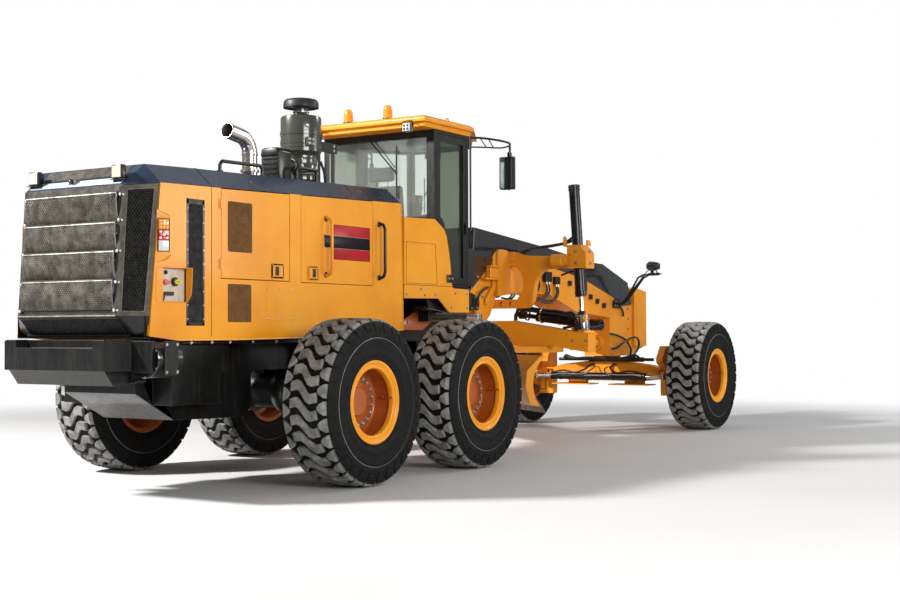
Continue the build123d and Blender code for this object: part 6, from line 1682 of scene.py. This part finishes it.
        # under the cover: valve blocks and bent pipes on the beam's side
        for x, z, w, h in ((5.520, 2.060, 0.120, 0.110), (5.760, 2.010, 0.170, 0.130), (6.050, 1.985, 0.110, 0.100)):
            p.box(x, x + w, 0.202 * s, 0.262 * s, z, z + h, 1, bevel=0.008)
            for k in range(2):
                p.cyl((x + w * (0.3 + 0.4 * k), 0.236 * s, z), (x + w * (0.3 + 0.4 * k), 0.236 * s, z - 0.035), 0.016, 6, 2)
                p.tube([(x + w * (0.3 + 0.4 * k), 0.236 * s, z - 0.03), (x + w * (0.3 + 0.4 * k) - 0.01, 0.250 * s, z - 0.12), (x + w * (0.3 + 0.4 * k) - 0.10, 0.252 * s, z - 0.20), (x - 0.16, 0.236 * s, z - 0.22 - 0.03 * k), (x - 0.34, 0.214 * s, z - 0.21 - 0.03 * k)], 0.012, 8, 3)
        for k in range(6):
            x = 6.480 + 0.210 * k
            z = 2.090 - (x - 6.480) * 0.270
            p.box(x, x + 0.085, 0.213 * s, 0.222 * s, z - 0.115, z - 0.045, 6)
            p.button((x + 0.150, 0.212 * s, z - 0.060), (0, s, 0), 0.011, 2)
        for x, z in ((4.140, 1.905), (4.300, 2.010), (4.460, 2.110), (4.900, 2.270), (5.400, 2.215), (5.900, 2.160), (6.400, 2.105), (7.300, 1.950)):
            p.button((x, 0.212 * s, z), (0, s, 0), 0.012, 2)
        # lamp arm foot: bent bracket bolted to the post
        p.prism([(7.860, 1.800), (7.860, 1.700), (8.120, 1.690), (8.150, 1.740), (8.150, 1.830), (8.000, 1.835)], "y", 0.212 * s, 0.224 * s, 1, bevel=0.003)
        for x, z in ((7.900, 1.730), (7.985, 1.728), (8.110, 1.725), (7.930, 1.790)):
            p.bolt((x, 0.224 * s, z), (0, s, 0), 0.012, 2)
        p.tube([(8.110, 0.226 * s, 1.700), (8.160, 0.230 * s, 1.640), (8.190, 0.222 * s, 1.580)], 0.014, 10, 3)
        for z in (1.400, 1.545, 1.690, 1.835):
            p.bolt((8.395, 0.2005 * s, z), (0, s, 0), 0.014, 2)
        # hoses looping from the beam to the steering and leaning gear
        p.tube([(7.780, 0.204 * s, 1.325), (7.830, 0.262 * s, 1.312), (8.094, 0.290 * s, 1.242), (8.280, 0.290 * s, 1.120), (8.321, 0.275 * s, 1.040), (8.300, 0.240 * s, 0.960), (8.240, 0.205 * s, 0.930)], 0.015, 10, 3)
        p.tube([(7.800, 0.204 * s, 1.110), (7.850, 0.280 * s, 1.130), (8.000, 0.330 * s, 1.210), (8.185, 0.340 * s, 1.262), (8.400, 0.330 * s, 1.268), (8.530, 0.310 * s, 1.215), (8.560, 0.290 * s, 1.120), (8.450, 0.270 * s, 1.030), (8.250, 0.240 * s, 0.990), (8.120, 0.205 * s, 0.975)], 0.015, 10, 3)
        for x, z in ((7.790, 1.322), (7.808, 1.112)):
            p.cyl((x, 0.200 * s, z), (x, 0.222 * s, z), 0.026, 6, 2)
    # black accumulator drum under the beam, its end boss and hose
    p.cyl((7.150, -0.205, 1.453), (7.150, -0.385, 1.453), 0.080, 36, 1, chamfer=0.010)
    p.cyl((7.150, -0.385, 1.453), (7.150, -0.410, 1.453), 0.030, 20, 1, chamfer=0.004)
    p.tube([(7.150, -0.398, 1.453), (7.080, -0.400, 1.440), (6.960, -0.330, 1.420), (6.900, -0.240, 1.435), (6.880, -0.205, 1.440)], 0.018, 10, 3)
    p.done(angle=32)

    g = Piece("hitch_guard", "front_machine", M["black"], M["zinc"], M["hose"], M["dark"])
    for s in (-1, 1):
        guard = [(3.905, 1.828), (3.963, 1.818), (4.112, 1.760), (4.120, 1.690), (4.060, 1.540), (3.985, 1.500), (3.905, 1.545)]
        g.prism(guard, "y", 0.222 * s, 0.236 * s, 0, bevel=0.004)
        for x, z in ((3.945, 1.640), (4.040, 1.646), (4.020, 1.770)):
            g.bolt((x, 0.236 * s, z), (0, s, 0), 0.015, 1)
        g.tube([(4.000, 0.262 * s, 1.470), (3.960, 0.275 * s, 1.560), (3.975, 0.272 * s, 1.680), (4.060, 0.262 * s, 1.790), (4.200, 0.240 * s, 1.860), (4.320, 0.232 * s, 1.900)], 0.016, 10, 2)
    g.done(angle=32)


front_details()


# ------------------------------------------------------------------ drawbar, blade, rods and lamps

def uv(u, v, z):
    """Blade directions to the machine's: the blade group stands turned under the drawbar."""
    return Vector((5.0 + 0.766 * u + 0.643 * v, -0.643 * u + 0.766 * v, z))


def drawbar_details():
    p = Piece("drawbar_fittings", "drawbar", M["black"], M["hose"], M["zinc"], M["orange_low"], M["chrome"])
    a, b = Vector((5.000, -1.080, 1.475)), Vector((5.000, -0.330, 1.568))
    d = (b - a).normalized()
    L = (b - a).length
    up = Vector((0, -d.z, d.y))
    back = Vector((-1, 0, 0))
    for t in (0.10, 0.30, 0.62, 0.90):
        p.lathe([(-0.012, 0.0552), (-0.010, 0.0600), (0.010, 0.0600), (0.012, 0.0552)], a + d * (L * t), d, 32, 0)
    # bundle of hoses along the cylinder, held by a bright clamp, looping back at the outer end
    for k, (o, w) in enumerate(((0.070, 0.006), (0.074, -0.034), (0.060, 0.046), (0.095, 0.020))):
        q = [b - d * 0.020 + up * 0.046 + back * (w * 0.5), b + d * 0.004 + up * (0.080 + o * 0.3) + back * w, b - d * 0.060 + up * (o + 0.012) + back * w, a + d * L * 0.62 + up * (o + 0.004) + back * w, a + d * L * 0.30 + up * (o + 0.010) + back * (w + 0.012),
             a + d * L * 0.06 + up * (o + 0.040 - 0.02 * k) + back * (w + 0.05), a - d * (0.050 + 0.012 * k) + up * 0.010 + back * (0.085 + 0.01 * k), a + d * 0.010 - up * 0.050 + back * (0.080 + 0.012 * k),
             a + d * 0.120 - up * 0.085 + back * (0.060 + 0.012 * k)]
        p.tube(q, 0.0155, 10, 1)
    c = a + d * L * 0.62
    ring = [c + up * (0.036 + 0.098 * math.cos(2 * math.pi * k / 28)) + back * (0.006 + 0.084 * math.sin(2 * math.pi * k / 28)) for k in range(29)]
    p.tube(ring, 0.008, 8, 4, smooth_path=False, caps=False)
    for k in range(2):
        o = 0.036 * k
        p.tube([b - d * (0.075 + o) + back * 0.050, b - d * (0.050 + o) + back * 0.090 + up * 0.040, b + d * 0.040 + back * (0.060 - o) + up * 0.075, (5.020 + o, -0.235, 1.605), (5.060 + o, -0.190, 1.560), (5.070 + o, -0.185, 1.474)], 0.0145, 10, 1)
        p.cyl((5.070 + o, -0.185, 1.478), (5.070 + o, -0.185, 1.500), 0.022, 6, 2)
    # end ears and caps, edge plates and bolts of the cross-beam, tongue ribs
    for s in (-1, 1):
        p.prism([(4.700, 1.470), (4.700, 1.560), (4.735, 1.590), (4.742, 1.590), (4.742, 1.470)], "y", 1.352 * s, 1.330 * s, 3, bevel=0.004)
        p.box(4.742, 4.752 + 0.003, 1.120 * s, 1.358 * s, 1.140, 1.180, 3, bevel=0.002)
        for y in (1.150, 1.330):
            for z in (1.250, 1.400):
                p.bolt((4.749, y * s, z), (-1, 0, 0), 0.012, 2)
        for x in (5.60, 6.20, 6.80):
            p.cyl((x, 0.0, 1.336), (x, 0.0, 1.342), 0.030, 20, 2, chamfer=0.002)
    p.done(angle=32)
    # boots over the lift rods' ball sockets
    for s, side in ((-1, "right"), (1, "left")):
        r = Piece("lift_boot_" + side, "lift_rod_" + side, M["hose"], M["zinc"], M["black"])
        c = Vector((4.850, 1.230 * s, 0))
        prof = [(1.372, 0.0), (1.372, 0.070), (1.392, 0.080)]
        for k in range(5):
            z = 1.405 + 0.024 * k
            prof += [(z, 0.0885 - 0.002 * k), (z + 0.012, 0.0800 - 0.002 * k)]
        prof += [(1.535, 0.079), (1.564, 0.074), (1.580, 0.050), (1.600, 0.042), (1.612, 0.030)]
        r.lathe([(z, q) for z, q in prof], c, (0, 0, 1), 36, 0)
        r.lathe([(1.536, 0.0800), (1.538, 0.0830), (1.552, 0.0830), (1.554, 0.0780)], c, (0, 0, 1), 36, 1)
        r.done(angle=40)


def blade_details():
    p = Piece("blade_edge_bolts", "blade", M["zinc"], M["worn"], M["orange_low"])
    n = NODES["cutting_edge"]
    zs = sorted((n.matrix_world @ v.co).z for v in n.data.vertices)
    z0, z1 = zs[0], zs[-1]
    # carriage bolts' heads in front, along the edge
    tops = [n.matrix_world @ v.co for v in n.data.vertices]
    inv = lambda q: ((q.x + MX - 5.0) * 0.766 - (q.y + MY) * 0.643, (q.x + MX - 5.0) * 0.643 + (q.y + MY) * 0.766)
    us = [inv(q)[0] for q in tops]
    u0, u1 = min(us), max(us)
    for k in range(19):
        v = -2.02 + 4.04 * k / 18
        p.bolt(uv(0.5 * (u0 + u1) - 0.020, v, z0 + (z1 - z0) * 0.62), (-0.766, 0.643, 0.35), 0.014, 0)
    p.done(angle=32)


def rod_details():
    p = Piece("steering_hoses", "front_machine", M["hose"], M["zinc"], M["black"], M["chrome"])
    for s in (-1, 1):
        # bright pipe and hose strapped along the steering barrel
        p.tube([(7.740, 0.700 * s, 0.735), (7.738, 0.560 * s, 0.752), (7.736, 0.380 * s, 0.748), (7.738, 0.180 * s, 0.758), (7.790, 0.110 * s, 0.810), (7.920, 0.090 * s, 0.850), (8.050, 0.090 * s, 0.860)], 0.011, 10, 3)
        p.tube([(7.760, 0.690 * s, 0.775), (7.745, 0.520 * s, 0.800), (7.742, 0.330 * s, 0.772), (7.800, 0.200 * s, 0.826), (7.920, 0.180 * s, 0.880), (8.050, 0.180 * s, 0.885)], 0.013, 10, 0)
        for y in (0.240, 0.600):
            p.lathe([(-0.010, 0.0525), (-0.008, 0.0575), (0.008, 0.0575), (0.010, 0.0525)], (7.800, y * s, 0.720), (0, 1, 0), 30, 2)
        p.lathe([(-0.030, 0.0525), (-0.026, 0.0590), (0.0, 0.0590)], (7.800, 0.740 * s, 0.720), (0, s, 0), 30, 2)
    # thick bent hose bundle behind the leaning gear
    for k in range(3):
        o = 0.024 * k
        p.tube([(7.935 - o * 0.3, 0.590, 0.975), (7.900 - o, 0.560, 1.020 - o * 0.4), (7.872 - o, 0.420, 0.985 - o * 0.3), (7.868 - o, 0.163, 0.972 + o * 0.4), (7.868 - o, -0.367, 0.965 + o * 0.4), (7.880 - o, -0.520, 1.000 + o * 0.5), (7.905 - o, -0.570, 1.010 + o * 0.3), (7.935 - o * 0.3, -0.590, 0.975)], 0.0125, 10, 0)
    p.done(angle=32)
    l = Piece("driving_lamps", "front_machine", M["black"], M["plastic"], M["lens"], M["amber"], M["zinc"], M["hose"])
    for s in (-1, 1):
        # bent arm, platform, stirrup and rounded lamp with its front lens
        arm = [(8.052, 0.226, 1.735), (8.080, 0.330, 1.800), (8.145, 0.560, 2.130), (8.165, 0.640, 2.175), (8.165, 0.800, 2.178)]
        l.tube([(x - 0.004, y * s, z) for x, y, z in arm], 0.021, 12, 0, smooth_path=False)
        l.box(8.110, 8.190, 0.640 * s, 0.830 * s, 2.172, 2.186, 0, bevel=0.003)
        for y in (0.680, 0.760):
            l.box(8.120, 8.180, y * s, (y + 0.006) * s, 2.186, 2.228, 4, bevel=0.001)
        c = Vector((8.140, 0.715 * s, 2.290))
        l.rounded(c, Vector((0.060, 0.098, 0.056)), 0.046, Matrix.Identity(3), 1, 4)
        l.box(8.196, 8.201, 0.630 * s, 0.735 * s, 2.248, 2.332, 2, bevel=0.002)
        l.box(8.196, 8.201, 0.745 * s, 0.800 * s, 2.248, 2.332, 3, bevel=0.002)
        for dz in (-0.030, 0.0, 0.030):
            l.tube([(8.080, 0.640 * s, 2.290 + dz), (8.078, 0.790 * s, 2.290 + dz)], 0.004, 6, 0)
        l.tube([(8.085, 0.700 * s, 2.262), (8.070, 0.660 * s, 2.220), (8.100, 0.600 * s, 2.170), (8.075, 0.400 * s, 1.930), (8.040, 0.260 * s, 1.760)], 0.007, 8, 5)
    l.done(angle=32)


drawbar_details()
blade_details()
rod_details()


# ------------------------------------------------------------------ floor, light, camera

def studio():
    bm = bmesh.new()
    bmesh.ops.create_grid(bm, x_segments=2, y_segments=2, size=90.0)
    me = bpy.data.meshes.new("floor")
    bm.to_mesh(me)
    bm.free()
    floor = bpy.data.objects.new("floor", me)
    bpy.context.scene.collection.objects.link(floor)
    m = Mat("pale_floor").set(spec=0.2)
    m.color(m.ramp(m.noise(0.4, 3.0, 0.5), (0.3, (0.60, 0.60, 0.60)), (0.7, (0.63, 0.63, 0.63))))
    m.rough(m.grey(m.noise(3.0, 3.0, 0.5), (0.3, 0.75), (0.7, 0.9)))
    # the floor thins out to the white surround far from the machine
    t = m.t
    co = t.nodes.new("ShaderNodeTexCoord")
    far = t.nodes.new("ShaderNodeVectorMath")
    far.operation = "LENGTH"
    t.links.new(co.outputs["Object"], far.inputs[0])
    fade = t.nodes.new("ShaderNodeMapRange")
    fade.interpolation_type = "SMOOTHSTEP"
    fade.inputs["From Min"].default_value = 7.5
    fade.inputs["From Max"].default_value = 13.5
    fade.inputs["To Min"].default_value = 1.0
    fade.inputs["To Max"].default_value = 0.0
    t.links.new(far.outputs["Value"], fade.inputs["Value"])
    t.links.new(fade.outputs["Result"], m.b.inputs["Alpha"])
    me.materials.append(m.m)
    world = bpy.data.worlds.new("studio")
    bpy.context.scene.world = world
    world.use_nodes = True
    nt = world.node_tree
    bg = nt.nodes["Background"]
    bg.inputs[0].default_value = (0.95, 0.97, 1.0, 1)
    bg.inputs[1].default_value = 0.25
    paper = nt.nodes.new("ShaderNodeBackground")
    paper.inputs[0].default_value = (1.0, 1.0, 1.0, 1)
    paper.inputs[1].default_value = 1.0
    path = nt.nodes.new("ShaderNodeLightPath")
    seen = nt.nodes.new("ShaderNodeMath")
    seen.operation = "MAXIMUM"
    mix = nt.nodes.new("ShaderNodeMixShader")
    nt.links.new(path.outputs["Is Camera Ray"], seen.inputs[0])
    nt.links.new(path.outputs["Is Transmission Ray"], seen.inputs[1])
    nt.links.new(seen.outputs[0], mix.inputs[0])
    nt.links.new(bg.outputs[0], mix.inputs[1])
    nt.links.new(paper.outputs[0], mix.inputs[2])
    nt.links.new(mix.outputs[0], nt.nodes["World Output"].inputs[0])

    def area(name, loc, target, size, power, colour=(1, 1, 1)):
        l = bpy.data.lights.new(name, "AREA")
        l.shape, l.size, l.size_y = "RECTANGLE", size[0], size[1]
        l.energy, l.color = power, colour
        o = bpy.data.objects.new(name, l)
        o.location = loc
        o.rotation_mode = "QUATERNION"
        o.rotation_quaternion = (Vector(target) - Vector(loc)).to_track_quat("-Z", "Y")
        bpy.context.scene.collection.objects.link(o)
    area("shadow_light", (-11.5, 7.5, 10.0), (0.0, 0.0, 0.5), (1.3, 1.3), 4500, (1.0, 0.985, 0.96))
    area("key_right_rear", (-7.5, -12.0, 4.2), (-0.5, 0.0, 1.6), (6.0, 3.6), 820, (1.0, 0.98, 0.95))
    area("overhead", (1.0, 1.0, 11.0), (0.5, 0.0, 1.0), (12.0, 5.0), 90)
    area("key_front_right", (5.0, -11.0, 3.6), (3.6, 0.0, 1.5), (4.0, 2.4), 330, (1.0, 0.98, 0.95))
    area("front_rim", (10.0, -8.0, 9.5), (3.0, 0.0, 1.5), (4.0, 3.0), 430)
    cam_data = bpy.data.cameras.new("camera")
    cam_data.lens, cam_data.sensor_width = 54.14, 36.0
    cam_data.clip_end = 300.0
    cam = bpy.data.objects.new("camera", cam_data)
    bpy.context.scene.collection.objects.link(cam)
    yaw, pitch, roll = 0.562, 0.023, -0.003
    fw = Vector((math.cos(yaw) * math.cos(pitch), math.sin(yaw) * math.cos(pitch), math.sin(pitch)))
    right = Vector((math.sin(yaw), -math.cos(yaw), 0.0))
    up = right.cross(fw)
    r2, u2 = math.cos(roll) * right + math.sin(roll) * up, -math.sin(roll) * right + math.cos(roll) * up
    cam.matrix_world = Matrix(((r2.x, u2.x, -fw.x, -9.753 - MX), (r2.y, u2.y, -fw.y, -8.553 - MY), (r2.z, u2.z, -fw.z, 1.371), (0, 0, 0, 1)))
    bpy.context.scene.camera = cam
    bpy.context.scene.view_settings.view_transform = "Standard"


studio()
